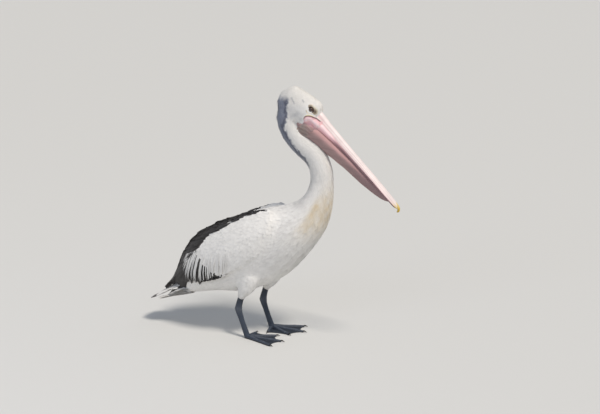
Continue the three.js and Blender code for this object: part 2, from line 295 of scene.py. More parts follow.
# The folded wing's outer face: rails along its top edge, fullest part and lower edge, left side.
WING_TOP = [
    (122, 68, 538), (51, 66, 534), (-37, 62, 505), (-117, 58, 469), (-188, 50, 444), (-245, 46, 409),
    (-289, 42, 366), (-325, 38, 305), (-350, 34, 244), (-377, 32, 198), (-408, 30, 158)]
WING_FULL = [
    (128, 108, 502), (62, 127, 474), (-10, 136, 436), (-80, 137, 393), (-145, 129, 345), (-205, 115, 305),
    (-255, 98, 272), (-300, 80, 243), (-338, 62, 216), (-374, 48, 188), (-408, 35, 155)]
WING_LOW = [
    (116, 108, 462), (84, 122, 408), (34, 128, 345), (-30, 127, 294), (-98, 119, 258), (-160, 107, 230),
    (-214, 93, 212), (-264, 78, 207), (-312, 62, 200), (-358, 47, 183), (-408, 34, 152)]
WING_REACH = 0.017


def wing_face(lengthwise, down):
    """Places on the left wing's face, at shares of its length from the shoulder and of its height down."""
    top, full, low = (placed(through(rail, lengthwise)) for rail in (WING_TOP, WING_FULL, WING_LOW))
    s = np.asarray(down, float)[:, None]
    return top * (1 - s) * (1 - 2 * s) + full * 4 * s * (1 - s) + low * s * (2 * s - 1)


wing_steps = np.linspace(0, 1, 71), np.linspace(0, 1, 25)
wing_grid = np.stack(np.meshgrid(*wing_steps, indexing="ij"), -1).reshape(-1, 2)
wing_points = wing_face(wing_grid[:, 0], wing_grid[:, 1])


def on_wing(points):
    """Each point's distance from its side's wing face, and its shares along and down the wing."""
    folded = mirrored(points)
    nearest = np.empty(len(points), int)
    distance = np.empty(len(points))
    for start in range(0, len(points), 2500):
        gaps = ((folded[start:start + 2500, None, :] - wing_points[None, :, :]) ** 2).sum(axis=2)
        nearest[start:start + 2500] = gaps.argmin(axis=1)
        distance[start:start + 2500] = np.sqrt(gaps.min(axis=1))
    return distance, wing_grid[nearest, 0], wing_grid[nearest, 1]


# Feathers lie back along the body, and on the wing they fan from nearly level at its top edge to
# nearly upright at its lower one. Angles are below level, in degrees, along the wing.
WING_FAN = np.array([
    # along, at the top edge, at the lower edge
    (0.00, 10, 58), (0.15, 16, 62), (0.35, 26, 74), (0.50, 34, 80),
    (0.62, 46, 74), (0.78, 62, 64), (1.00, 60, 52),
])


def wing_lie(lengthwise, down):
    """The way feathers point at a place on the wing, seen from its side."""
    top, low = (read_off(WING_FAN[:, [0, column]], lengthwise) for column in (1, 2))
    angle = np.radians(top + (low - top) * np.clip(down, 0, 1) ** 1.2)
    return np.stack([-np.cos(angle), np.zeros_like(angle), -np.sin(angle)], axis=-1)


full_shape = read_points(skin.data)
full_normals = read_points(skin.data, "normal")
station, _, _, tangent = along_spine(full_shape)
wing_gap, wing_along, wing_down = on_wing(full_shape)
is_wing = (wing_gap < WING_REACH) & (station < NECK_ROOT + 1)

# How deep the coat is, in millimetres, by station and on the wings. Thinner round eye and bill, and
# nowhere more than this share of the flesh under it.
THIN_FLESH_SHARE = 0.3
WING_COAT = 5.5
COAT_DEPTH = [(0, 4), (2, 6), (6, 6), (8, 5.5), (10, 4.5), (13, 3.5), (15, 3), (17, 2.2)]
eye_gap = eye_distance(full_shape)
bill_gap = np.array([bill_tree.find_nearest(Vector(p))[3] for p in full_shape])
depth = read_off(COAT_DEPTH, station)
depth = np.where(is_wing, WING_COAT, depth)
depth = np.minimum(depth, np.interp(bill_gap, (0, 0.004, 0.035), (2.5, 1.6, 9)))
depth = np.minimum(depth, np.interp(eye_gap, (0.016, 0.05), (2.2, 9)))
skin_tree = tree_of(skin)
for i, (point, normal) in enumerate(zip(full_shape, full_normals)):
    hit = skin_tree.ray_cast(Vector(point - normal * 0.0006), Vector(-normal), 0.05)[3]
    if hit is not None:
        depth[i] = min(depth[i], hit * THIN_FLESH_SHARE / MM)
links = np.empty(len(skin.data.edges) * 2, int)
skin.data.edges.foreach_get("vertices", links)
links = links.reshape(-1, 2)


def evened(values, times):
    """Point values of the hide, averaged with their neighbours a number of times."""
    count = len(values)
    neighbours = np.bincount(links.ravel(), minlength=count)[:, None] + 1
    values = values.reshape(count, -1)
    for _ in range(times):
        total = values.copy()
        for k in range(values.shape[1]):
            total[:, k] += np.bincount(links[:, 0], values[links[:, 1], k], count)
            total[:, k] += np.bincount(links[:, 1], values[links[:, 0], k], count)
        values = total / neighbours
    return values


depth = evened(depth, 6)
skin.data.vertices.foreach_set("co", (full_shape - full_normals * depth * MM).ravel())
skin.data.update()
worked(skin, "SMOOTH", factor=0.5, iterations=3)

# Fat and loose skin fill the hollows where skull, neck, wings and thighs meet. The shelf at the top
# of each thigh, this far round the hip, is filled and evened more.
HIP_REACH = 0.05
thigh_box = [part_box("thigh_left"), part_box("thigh_right")]
skin_points = read_points(skin.data)
skin_normals = read_points(skin.data, "normal")
slack = np.where(station < 3, 0, np.where(bill_gap < 0.02, 0, 1.0))
shelf = np.zeros(len(skin_points))
for low, high in thigh_box:
    hip = ((low[0] + high[0]) / 2, (low[1] + high[1]) / 2, high[2])
    shelf = np.maximum(shelf, np.clip(2 - np.linalg.norm(skin_points - hip, axis=1) / HIP_REACH, 0, 1))
# Rounds of evening, the most that each fills in millimetres, and where.
for times, most, where in ((30, 6, slack), (90, 10, slack), (260, 16, shelf)):
    fill = ((evened(skin_points, times) - skin_points) * skin_normals).sum(axis=1)
    fill = evened(np.clip(fill, 0, most * MM) * where, 4)
    skin_points = skin_points + skin_normals * fill
skin_points += (evened(skin_points, 40) - skin_points) * shelf[:, None]
skin.data.vertices.foreach_set("co", skin_points.ravel())
skin.data.update()
worked(skin, "SMOOTH", factor=0.5, iterations=2)

skin_points = read_points(skin.data)
skin_normals = read_points(skin.data, "normal")
skin_tree = tree_of(skin)


def on_thighs(points, margin, ceiling):
    """Which places lie within this margin of a thigh's box and under this height, in metres."""
    inside = np.zeros(len(points), bool)
    for low, high in thigh_box:
        inside |= np.all((points > np.array(low) - margin) & (points < np.array(high) + margin), axis=1)
    return inside & (points[:, 2] < ceiling)


lie = -tangent
lie[on_thighs(skin_points, 0.004, 0.222)] = unit(np.array((-0.35, 0, -1.0)))
lie[is_wing] = wing_lie(wing_along, wing_down)[is_wing]
lie = evened(lie, 14)
lie = unit(lie - skin_normals * (lie * skin_normals).sum(axis=1)[:, None])

# ---------------------------------------------------------------- the markings
# White all over, but for a grey stripe down the nape, a wash of straw yellow on the foreneck, black
# shoulder feathers, flight feathers and rump edges, and a little grey behind the eye: partly painted
# shade on the cheek, and painted shadows of feathers on the ear coverts.

WHITE = linear(238, 236, 233)
CREAM = linear(236, 228, 212)
NAPE_GREY = linear(118, 126, 148)
NAPE_DARK = linear(72, 78, 100)
FACE_GREY_AND_SHADE = linear(146, 149, 158)
STRAW = linear(212, 186, 132)
BLACK = linear(32, 28, 28)
# Outline of the black field in a side view of the drawing, x and z in millimetres. Its lower edge
# is where the roots end: the feathers hang on below it.
BLACK_BAND = [
    (66, 546), (-32, 524), (-94, 503), (-157, 474), (-200, 456), (-243, 430), (-278, 395), (-318, 340),
    (-345, 285), (-366, 235), (-386, 202), (-380, 192), (-356, 206), (-334, 214), (-315, 220), (-296, 219),
    (-277, 220), (-249, 218), (-214, 218), (-187, 226), (-156, 233), (-128, 240), (-134, 262),
    (-168, 288), (-204, 310), (-226, 330), (-232, 350), (-202, 386), (-173, 415), (-135, 442), (-98, 467),
    (-56, 486), (5, 512), (47, 525)]
# On the left side the black band starts further back.
LEFT_BAND_START = -16
# Painted shadows of feathers on the ear coverts, as grey streaks: lines in the side view.
EAR_FEATHER_SHADOWS = [[(155, 964), (161, 955), (167, 944)], [(198, 958), (203, 951)]]


def within(outline, x, z):
    """Which points lie inside a closed outline."""
    inside = np.zeros(len(x), bool)
    for (x0, z0), (x1, z1) in zip(outline, outline[1:] + outline[:1]):
        crosses = (z0 > z) != (z1 > z)
        inside ^= crosses & (x < (x1 - x0) * (z - z0) / ((z1 - z0) or 1e-9) + x0)
    return inside


def mottle(points, size, seed):
    """Soft blotches of about this size in metres, from -1 to 1."""
    waves = np.random.default_rng(seed)
    total = np.zeros(len(points))
    for _ in range(9):
        way = unit(waves.normal(size=3)) / size * waves.uniform(0.7, 1.5)
        total += np.sin(points @ way * math.tau / 2 + waves.uniform(0, math.tau))
    return np.clip(total / 4, -1, 1)


def ramp(value, low, high):
    """0 below low, 1 above high, and smooth between them."""
    t = np.clip((value - low) / (high - low), 0, 1)
    return t * t * (3 - 2 * t)


def blend(colours, other, share):
    return colours + (np.array(other) - colours) * share[:, None]


def off_line(x, z, line):
    """Each point's distance from a line of the side view, in millimetres."""
    best = np.full(len(x), 1e9)
    for (x0, z0), (x1, z1) in zip(line, line[1:]):
        run_x, run_z = x1 - x0, z1 - z0
        share = np.clip(((x - x0) * run_x + (z - z0) * run_z) / (run_x**2 + run_z**2), 0, 1)
        best = np.minimum(best, np.hypot(x - x0 - share * run_x, z - z0 - share * run_z))
    return best


def markings(points):
    """The plumage's colour at each place."""
    place, _, around, _ = along_spine(points)
    x, y, z = drawn(points).T
    fleck = mottle(points, 0.012, 3)
    fine = mottle(points, 0.005, 4)
    back = np.degrees(np.abs(around))
    colours = np.tile(WHITE, (len(points), 1))
    crown = ramp(place, 14.5, 15.5) * ramp(z, 925, 960)
    colours = blend(colours, CREAM, 0.15 * crown)
    neck_edge = np.interp(place, (9.2, 10.2, 11.2, 12, 13, 14), (-6, 40, 62, 72, 80, 86))
    behind = (neck_edge - back) * 0.75 + (141 - x - (neck_edge - back) * 0.75) * ramp(z, 845, 900)
    below = ramp(974 - z + 0.1 * (120 - x) + 6 * fleck, 0, 26)
    behind = behind + 5 * fleck + 3.5 * fine
    stripe = ramp(behind, -5, 7) * below * (place > 9)
    stripe = stripe * np.interp(place, (9.2, 10.4, 11.5, 13), (0, 0.45, 0.85, 1))
    colours = blend(colours, NAPE_GREY, stripe * 0.92)
    colours = blend(colours, NAPE_DARK, stripe * 0.75 * np.exp(-((behind - 9) / 7) ** 2))
    # The cheek's grey is partly its own mottling and partly painted shade under the bulge of the jaw.
    cheek_grey_and_shade = ramp(-np.hypot((x - 168) / 40, (z - 892) / 34), -1.1, -0.2) * ramp(place, 13.4, 14.2)
    # Painted shadows of feathers on the ear coverts, as thin grey streaks.
    ear_shadow = sum(np.exp(-(off_line(x, z, mark) / 2.6) ** 2) for mark in EAR_FEATHER_SHADOWS) * (z > 900)
    grey_and_shade = 0.34 * cheek_grey_and_shade * (0.6 + 0.7 * fleck) + 0.5 * ear_shadow
    colours = blend(colours, FACE_GREY_AND_SHADE, np.clip(grey_and_shade, 0, 1))
    front = ramp(back, 88, 150)
    wash = front * (place > 5) * np.interp(z, (400, 450, 500, 560, 610, 660), (0, 0.35, 0.85, 0.8, 0.3, 0))
    streak = np.exp(-((back - 112) / 12) ** 2) * (place > 5)
    streak = streak * np.interp(z, (440, 490, 560, 600), (0, 0.5, 0.45, 0))
    colours = blend(colours, STRAW, np.clip((wash * 0.62 + streak) * (0.8 + 0.3 * fleck), 0, 1))
    gap, _, _ = on_wing(points)
    black = within(BLACK_BAND, x + 3 * fleck, z) & (gap < 0.03) & ((x < LEFT_BAND_START) | (y < 0))
    rump = (place < 1.5) & (back < 62) & (np.abs(np.abs(y) - 14 - (x + 372) * 0.42) < 13)
    colours[black | rump] = BLACK
    return colours


skin_tint = markings(skin_points)


def give_tint(thing, tints):
    """Stores a colour at every point, which the material reads."""
    layer = thing.data.color_attributes.new("Tint", "FLOAT_COLOR", "POINT")
    values = np.concatenate([np.clip(tints, 0, 1), np.ones((len(tints), 1))], axis=1)
    layer.data.foreach_set("color", values.astype(np.float32).ravel())


def node(tree, kind, **settings):
    """A shader node with its settings, or the values of its sockets where a name is a socket's."""
    made = tree.nodes.new(kind)
    for setting, value in settings.items():
        if setting in made.inputs:
            made.inputs[setting].default_value = value
        else:
            setattr(made, setting, value)
    return made


def tint_of(tree):
    return node(tree, "ShaderNodeAttribute", attribute_name="Tint").outputs["Color"]


def new_group(name, inputs, outputs):
    """An empty shader node group with these sockets: names with a kind, and a start value for an input."""
    group = bpy.data.node_groups.new(name, "ShaderNodeTree")
    for label, kind, value in inputs:
        socket = group.interface.new_socket(name=label, in_out="INPUT", socket_type=f"NodeSocket{kind}")
        socket.default_value = value
    for label, kind in outputs:
        group.interface.new_socket(name=label, in_out="OUTPUT", socket_type=f"NodeSocket{kind}")
    return group, node(group, "NodeGroupInput"), node(group, "NodeGroupOutput")


def maths(tree, operation, *values):
    """One arithmetic node over sockets or numbers."""
    made = node(tree, "ShaderNodeMath", operation=operation)
    for socket, value in zip(made.inputs, values):
        if isinstance(value, (int, float)):
            socket.default_value = value
        else:
            tree.links.new(value, socket)
    return made.outputs["Value"]


def toned(tree, colour, share):
    """A colour socket made lighter or darker by a share."""
    made = node(tree, "ShaderNodeVectorMath", operation="SCALE")
    tree.links.new(colour, made.inputs[0])
    tree.links.new(share, made.inputs["Scale"])
    return made.outputs["Vector"]


def mixed(tree, share, one, other):
    """A mix of two colour sockets by a share."""
    made = node(tree, "ShaderNodeMix", data_type="RGBA")
    for socket, value in (("Factor", share), ("A", one), ("B", other)):
        tree.links.new(value, made.inputs[socket])
    return made.outputs["Result"]


# Mottling that every finish of this bird shares: a colour made a little lighter and darker in
# patches of the given scale, and a height for fine relief.
mottled, given, out = new_group(
    "mottled",
    [("Color", "Color", (1, 1, 1, 1)), ("Patch Scale", "Float", 60.0), ("Amount", "Float", 0.1),
     ("Grain Scale", "Float", 900.0)],
    [("Color", "Color"), ("Height", "Float")])
spot = node(mottled, "ShaderNodeTexCoord").outputs["Object"]
patches = node(mottled, "ShaderNodeTexNoise", Detail=3.0)
grain = node(mottled, "ShaderNodeTexNoise", Detail=2.0)
for noise, scale in ((patches, "Patch Scale"), (grain, "Grain Scale")):
    mottled.links.new(spot, noise.inputs["Vector"])
    mottled.links.new(given.outputs[scale], noise.inputs["Scale"])
swing = maths(mottled, "SUBTRACT", patches.outputs["Fac"], 0.5)
swing = maths(mottled, "MULTIPLY", swing, given.outputs["Amount"])
share = maths(mottled, "MULTIPLY_ADD", swing, 2.0, 1.0)
mottled.links.new(toned(mottled, given.outputs["Color"], share), out.inputs["Color"])
mottled.links.new(grain.outputs["Fac"], out.inputs["Height"])


def add_group(tree, group, colour=None, **values):
    """Places a node group in a material, with its own values and, where given, a colour socket."""
    made = node(tree, "ShaderNodeGroup", node_tree=group)
    for label, value in values.items():
        made.inputs[label.replace("_", " ")].default_value = value
    if colour is not None:
        tree.links.new(colour, made.inputs["Color"])
    return made


def raise_bump(tree, shader, height, distance, strength=1.0):
    bump = node(tree, "ShaderNodeBump", Strength=strength, Distance=distance)
    tree.links.new(height, bump.inputs["Height"])
    tree.links.new(bump.outputs["Normal"], shader.inputs["Normal"])


def tinted_material(name, roughness, patch_scale, amount, grain_scale, **settings):
    """A material coloured by the Tint at its points, mottled. Another link can replace the colour's."""
    material, tree, shader = plain_material(name, roughness, **settings)
    finish_of = add_group(
        tree, mottled, tint_of(tree), Patch_Scale=patch_scale, Amount=amount, Grain_Scale=grain_scale)
    tree.links.new(finish_of.outputs["Color"], shader.inputs["Base Color"])
    return material, tree, shader, finish_of


down, tree, shader, finish_of = tinted_material("down", 0.9, 120.0, 0.12, 1400.0)
raise_bump(tree, shader, finish_of.outputs["Height"], 0.001)
give_tint(skin, skin_tint)
skin.data.materials.append(down)
pick(skin)
bpy.ops.object.shade_smooth()
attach(skin, "root")
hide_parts("trunk", "neck_lower", "neck_middle", "neck_upper", "head", "thigh_right", "thigh_left")

# ---------------------------------------------------------------- the bill
# The upper half is pale horn with a rounded ridge, a groove down each side and a hooked yellow nail.
# The lower half is two pink rods that meet at the tip, drawn as one, with the pouch between them.

# Along the bill from its root, per key: distance, aside, height, half width, size up and size down.
MAXILLA = [
    (-40, 0, -31, 19, 24, 9), (0, 0, -27, 22, 30, 8), (60, 0, -23, 19.5, 24, 7), (130, 0, -19, 17.5, 20, 6),
    (220, 0, -15, 17, 17, 5), (310, 0, -10.5, 19, 14, 4), (390, 0, -7.5, 22, 11, 3.5),
    (438, 0, -6.5, 20, 8.5, 3.5), (464, 0, -7.5, 11, 6, 3.5)]
NAIL = [
    (434, 0, 1, 3, 1.5, 3), (450, 0, -1, 6, 3.5, 5), (464, 0, -5, 6.5, 4, 6), (470, 0, -12.5, 5, 4, 5),
    (469, 0, -20.5, 2.5, 2, 2.5)]
MANDIBLE = [
    (-24, 0, -50, 24, 14, 12), (4, 0, -40, 28.5, 21, 22), (40, 0, -34, 27, 20, 17),
    (85, 0, -29, 23.5, 16, 13), (130, 0, -25.5, 20.5, 12, 10.5), (220, 0, -21, 16.5, 7, 8.5),
    (310, 0, -16, 17.5, 5, 7), (390, 0, -11.5, 20, 4.5, 5.5), (444, 0, -10, 17, 4, 4),
    (460, 0, -10.5, 8, 3.5, 3.5)]
POUCH = [
    (-46, 0, -94, 22, 6, 12), (-22, 0, -88, 31, 16, 24), (0, 0, -76, 33, 26, 36), (30, 0, -66, 32, 30, 45),
    (90, 0, -56, 25.5, 26, 42), (150, 0, -47, 20.5, 21, 37), (220, 0, -38, 17, 17, 32),
    (290, 0, -29, 14.5, 12, 31), (360, 0, -21, 12, 8, 24), (420, 0, -15.5, 9, 4, 11)]
MAXILLA_PALE = linear(236, 222, 220)
MAXILLA_PINK = linear(222, 180, 180)
MAXILLA_GROOVE_SHADE = linear(196, 160, 162)
BILL_YELLOW = linear(224, 204, 146)
NAIL_YELLOW = linear(206, 172, 66)
RAMUS_HIGHLIGHT = linear(248, 218, 220)
RAMUS_PINK = linear(230, 178, 182)
RAMUS_SHADE = linear(188, 138, 144)
RAMUS_OVERHANG_SHADE = linear(124, 96, 102)
POUCH_BROWN = linear(160, 132, 130)
POUCH_PINK = linear(206, 160, 158)
POUCH_FOLD_SHADE = linear(100, 76, 78)


def new_mesh(name, points, quads, triangles, smooth_angle=50):
    """An object of quads and triangles over the points."""
    mesh = bpy.data.meshes.new(name)
    mesh.vertices.add(len(points))
    mesh.vertices.foreach_set("co", points.astype(np.float32).ravel())
    corners = np.concatenate([quads.ravel(), triangles.ravel()])
    starts = np.concatenate([np.arange(len(quads)) * 4, len(quads) * 4 + np.arange(len(triangles)) * 3])
    mesh.loops.add(len(corners))
    mesh.loops.foreach_set("vertex_index", corners.astype(np.int32))
    mesh.polygons.add(len(starts))
    mesh.polygons.foreach_set("loop_start", starts.astype(np.int32))
    mesh.update(calc_edges=True)
    thing = bpy.data.objects.new(name, mesh)
    bpy.context.scene.collection.objects.link(thing)
    pick(thing)
    bpy.ops.object.shade_smooth_by_angle(angle=math.radians(smooth_angle))
    return thing


def wrapped_grid(name, rings, closed=True):
    """A grid wrapped to a tube over rings of points. Its UV map Along runs round and along the tube."""
    rings = np.asarray(rings, float)
    count, sides = rings.shape[:2]
    bpy.ops.object.select_all(action="DESELECT")
    bpy.ops.mesh.primitive_grid_add(x_subdivisions=sides, y_subdivisions=count - 1, calc_uvs=True)
    thing = bpy.context.object
    thing.name = name
    thing.data.uv_layers[0].name = "Along"
    points = np.concatenate([rings, rings[:, :1]], axis=1).reshape(-1, 3)
    thing.data.vertices.foreach_set("co", points.astype(np.float32).ravel())
    bpy.ops.object.mode_set(mode="EDIT")
    bpy.ops.mesh.select_all(action="SELECT")
    bpy.ops.mesh.remove_doubles(threshold=0.000002)
    if closed:
        bpy.ops.mesh.select_all(action="DESELECT")
        bpy.ops.mesh.select_non_manifold()
        bpy.ops.mesh.fill_holes(sides=0)
    bpy.ops.mesh.select_all(action="SELECT")
    bpy.ops.mesh.normals_make_consistent(inside=False)
    bpy.ops.object.mode_set(mode="OBJECT")
    bpy.ops.object.shade_smooth_by_angle(angle=math.radians(55))
    return thing


def end_share(t, at_start, at_end):
    """How much of its full size a section keeps near a rounded end."""
    near_start = np.minimum(1, t / at_start) if at_start else np.ones_like(t)
    near_end = np.minimum(1, (1 - t) / at_end) if at_end else np.ones_like(t)
    start_size = np.sqrt(np.maximum(0.02, 1 - (1 - near_start) ** 2))
    return start_size * np.sqrt(np.maximum(0.02, 1 - (1 - near_end) ** 2))


def bill_tube(name, keys, rings, sides, power=2.0, at_start=0.0, at_end=0.12, relief=None):
    """A closed tube of the bill. relief(along, turn) gives how far the surface moves out, in millimetres.

    Returns the object, with each point's share along it and its turn from the right side up, in degrees.
    """
    keys = np.array(keys, float)
    t = np.linspace(0, 1, rings)
    line, size = through(keys[:, :3], t), through(keys[:, 3:], t)
    tangent = unit(np.gradient(line, axis=0))
    above = np.stack([-tangent[:, 2], np.zeros(rings), tangent[:, 0]], -1)
    turns = np.arange(sides) / sides * 360
    cosine, sine = np.cos(np.radians(turns)), np.sin(np.radians(turns))
    across = np.sign(cosine) * np.abs(cosine) ** (2 / power)
    up = np.sign(sine) * np.abs(sine) ** (2 / power)
    size = size * end_share(t, at_start, at_end)[:, None]
    swell = np.zeros((rings, sides)) if relief is None else relief(t[:, None], turns[None, :])
    swell = swell * np.minimum(1, size[:, :1] / 8)
    wide = size[:, 0:1] * across + swell * cosine
    tall = np.where(up > 0, size[:, 1:2], size[:, 2:3]) * up + swell * sine
    flat = line[:, None, :] + above[:, None, :] * tall[..., None]
    flat[..., 1] += wide
    x = BILL_ROOT[0] + flat[..., 0] * math.cos(BILL_PITCH) + flat[..., 2] * math.sin(BILL_PITCH)
    z = BILL_ROOT[1] - flat[..., 0] * math.sin(BILL_PITCH) + flat[..., 2] * math.cos(BILL_PITCH)
    rows = placed(np.stack([x, flat[..., 1], z], -1))
    thing = wrapped_grid(name, rows)
    whole = rows.reshape(-1, 3)
    found = np.array([((whole - p) ** 2).sum(axis=1).argmin() for p in read_points(thing.data)])
    return thing, t[found // sides], turns[found % sides]


def horn_material(name, roughness, streak, **settings):
    """Horn or bare skin coloured by the Tint at its points, with fine streaks along its length."""
    material, tree, shader, finish_of = tinted_material(name, roughness, 38.0, 0.14, 700.0, **settings)
    stretch = node(tree, "ShaderNodeMapping")
    stretch.inputs["Scale"].default_value = (60, 5, 1)
    tree.links.new(node(tree, "ShaderNodeUVMap", uv_map="Along").outputs["UV"], stretch.inputs["Vector"])
    fibres = node(tree, "ShaderNodeTexNoise", Scale=1.0, Detail=4.0)
    tree.links.new(stretch.outputs["Vector"], fibres.inputs["Vector"])
    share = maths(tree, "MULTIPLY_ADD", fibres.outputs["Fac"], streak, 1 - streak / 2)
    tree.links.new(toned(tree, finish_of.outputs["Color"], share), shader.inputs["Base Color"])
    fine = maths(tree, "MULTIPLY", finish_of.outputs["Height"], 0.4)
    height = maths(tree, "ADD", fibres.outputs["Fac"], fine)
    raise_bump(tree, shader, height, 0.0007, 0.7)
    return material


def bell(value, middle, width):
    return np.exp(-((value - middle) / width) ** 2)


def off_angle(turns, middle):
    """How far each turn is from a middle one, in degrees, the same on both sides."""
    return np.abs((turns - middle + 180) % 360 - 180)


def from_top(turns):
    return off_angle(turns, 90)


def finish_bill(thing, tones, material, slot, *nodes):
    give_tint(thing, tones)
    thing.data.materials.append(material)
    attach(thing, "root")
    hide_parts(*nodes)


maxilla, along, around = bill_tube(
    "bill_upper_horn", MAXILLA, 110, 72, power=1.8, relief=lambda t, a: (
        0.8 * bell(from_top(a), 0, 20) - 0.8 * bell(from_top(a), 50, 7) * np.minimum(1, 8 * t)
        + 0.7 * bell(from_top(a), 88, 9)))
top = from_top(around)
tones = np.tile(MAXILLA_PALE, (len(top), 1))
tones = blend(tones, MAXILLA_PINK, np.clip(0.75 * ramp(-along, -0.3, -0.04) * ramp(top, 20, 60)
                                           + 0.5 * bell(top, 84, 16), 0, 1))
# Painted shade darkens the groove down each side of the upper half.
tones = blend(tones, MAXILLA_GROOVE_SHADE, 0.45 * bell(top, 50, 5))
tones = blend(tones, BILL_YELLOW, ramp(along, 0.82, 0.96) * ramp(top, 20, 70))
finish_bill(maxilla, tones, horn_material("maxilla_horn", 0.38, 0.12), "bill_horn", "bill_upper")

nail, along, around = bill_tube("bill_nail_horn", NAIL, 34, 32, at_end=0.1)
tones = blend(np.tile(BILL_YELLOW, (len(along), 1)), NAIL_YELLOW, ramp(along, 0.1, 0.6))
finish_bill(nail, tones, horn_material("nail_horn", 0.35, 0.12), "nail_horn", "bill_nail")

mandible, along, around = bill_tube(
    "bill_lower_horn", MANDIBLE, 110, 64, power=2.4, relief=lambda t, a: (
        0.7 * bell(from_top(a), 74, 14) - 0.3 * bell(from_top(a), 108, 8)))
top = from_top(around)
tones = np.tile(RAMUS_PINK, (len(top), 1))
# A painted highlight along the upper outer side of the jaw's root half.
tones = blend(tones, RAMUS_HIGHLIGHT, bell(top, 70, 20) * ramp(-along, -0.5, -0.3))
# Painted shade along the lower side, and in the seam under the upper half's edge.
tones = blend(tones, RAMUS_SHADE, np.clip(0.35 * ramp(top, 116, 136) + 0.8 * ramp(-top, -46, -28), 0, 1))
# Painted shade of the upper half's overhang darkens the outer half of the jaw, less on its highlight.
tones = blend(tones, RAMUS_OVERHANG_SHADE, ramp(along, 0.34, 0.5) * (1 - 0.4 * bell(top, 70, 14)))
tones = blend(tones, BILL_YELLOW, 0.6 * ramp(along, 0.9, 0.98))
finish_bill(mandible, tones, horn_material("mandible_horn", 0.36, 0.14), "bill_horn", "bill_lower")


def pouch_folds(t, turns):
    """Slack skin: long folds that run obliquely down and back, and finer creases between them."""
    low = ramp(from_top(turns), 60, 120)
    slant = from_top(turns) / 180 + 2.3 * t
    folds = 0.6 * np.sin(slant * 27 + 4 * t * t) + 0.4 * np.sin(slant * 71 + 9 * t)
    folds = folds + 0.3 * np.sin(slant * 150 - 13 * t)
    return low * folds * ramp(-t, -1.0, -0.5) * 0.55


pouch, along, around = bill_tube(
    "pouch_skin", POUCH, 150, 96, power=1.8, at_start=0.1, at_end=0.06, relief=pouch_folds)
low = from_top(around)
tones = np.tile(POUCH_BROWN, (len(low), 1))
pink = 0.8 * ramp(-low, -108, -64) * ramp(along, 0.08, 0.32)
pink = pink + 0.6 * ramp(low, 150, 176) * ramp(along, 0.3, 0.6)
tones = blend(tones, POUCH_PINK, np.clip(pink, 0, 1))
# Painted shade in the hollows of the folds, on the pouch's lower side.
tones = blend(tones, POUCH_FOLD_SHADE, 0.4 * ramp(-pouch_folds(along, around), -0.2, 0.9) * ramp(low, 70, 100))
# Painted shade of the upper half's overhang on the pouch's outer part.
tones = blend(tones, RAMUS_OVERHANG_SHADE, 0.45 * ramp(along, 0.55, 0.8))
finish_bill(pouch, tones, horn_material("pouch_hide", 0.45, 0.2), "pouch_skin", "pouch")

# ---------------------------------------------------------------- eyes
# A dark brown glossy ball with a black pupil in each socket, looking out and a little forward.

EYE_RADIUS = (eye_high.x - eye_low.x) / 2
EYE_RINGS = 64
# Colour by distance from the middle of the eye, in millimetres.
IRIS = [
    (0, (6, 5, 5)), (3.6, (6, 5, 5)), (4.0, (66, 38, 22)), (5.6, (92, 56, 32)), (7.6, (58, 34, 20)),
    (8.4, (16, 10, 8))]
iris_radii = [radius for radius, _ in IRIS]
iris_tones = [linear(*tone) for _, tone in IRIS]
for side_name, sign in SIDES:
    centre = Vector(placed((EYE[0], sign * EYE[1], EYE[2])))
    gaze = Vector((0.2, sign, 0.0)).normalized()
    bpy.ops.object.select_all(action="DESELECT")
    bpy.ops.mesh.primitive_uv_sphere_add(segments=72, ring_count=EYE_RINGS, radius=EYE_RADIUS)
    ball = bpy.context.object
    ball.name = f"eyeball_{side_name}"
    ball.data.transform(gaze.to_track_quat("Z", "Y").to_matrix().to_4x4())
    ball.data.transform(Matrix.Translation(centre))
    spokes = read_points(ball.data) - np.array(centre)
    off = np.linalg.norm(np.cross(spokes, np.array(gaze)), axis=1) / MM
    facing = spokes @ np.array(gaze) > 0
    rays = np.arctan2(spokes[:, 2], spokes[:, 0])
    tones = np.stack([np.interp(off, iris_radii, [tone[k] for tone in iris_tones]) for k in range(3)], -1)
    tones *= (1 + 0.25 * np.sin(rays * 38) * ((off > 4.2) & (off < 7.8)))[:, None]
    tones[~facing] = linear(16, 10, 8)
    give_tint(ball, tones)
    eye_gloss = tinted_material(
        f"eye_gloss_{side_name}", 0.08, 600.0, 0.3, 2000.0, Coat_Weight=1.0, Coat_Roughness=0.02)[0]
    ball.data.materials.append(eye_gloss)
    pick(ball)
    bpy.ops.object.shade_smooth()
    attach(ball, "root")
    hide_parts(f"eye_{side_name}")

# ---------------------------------------------------------------- bare skin of the face
# Soft bare skin, cream and olive, rings each eye, with painted shade of the brow over its upper part.
# Its inner edge is the dark rim of the lids, which lie on the eyeball. Pink skin runs from the dark
# corner of the gape over the root of the jaw, and folds down to the pouch, with a painted highlight
# along the jaw's root and painted shade above the pouch and in its folds. Both kinds follow the hide
# and the bill, and their edges sink in the plumage.

LID_OPENING = 9.2
ORBIT_SECTORS = 96
ORBIT_RINGS = 34
# Reach of the bare skin from the eye's middle by direction, in degrees up from straight ahead.
ORBIT_REACH = [
    (-180, 22), (-130, 21.5), (-90, 22), (-60, 25), (-30, 29), (0, 27), (30, 23), (60, 21.5), (120, 22.5),
    (180, 22)]
ORBIT_CREAM = linear(228, 218, 196)
ORBIT_PALE = linear(238, 224, 188)
ORBIT_OLIVE_AND_BROW_SHADE = linear(150, 130, 110)
ORBIT_DARK = linear(70, 54, 44)
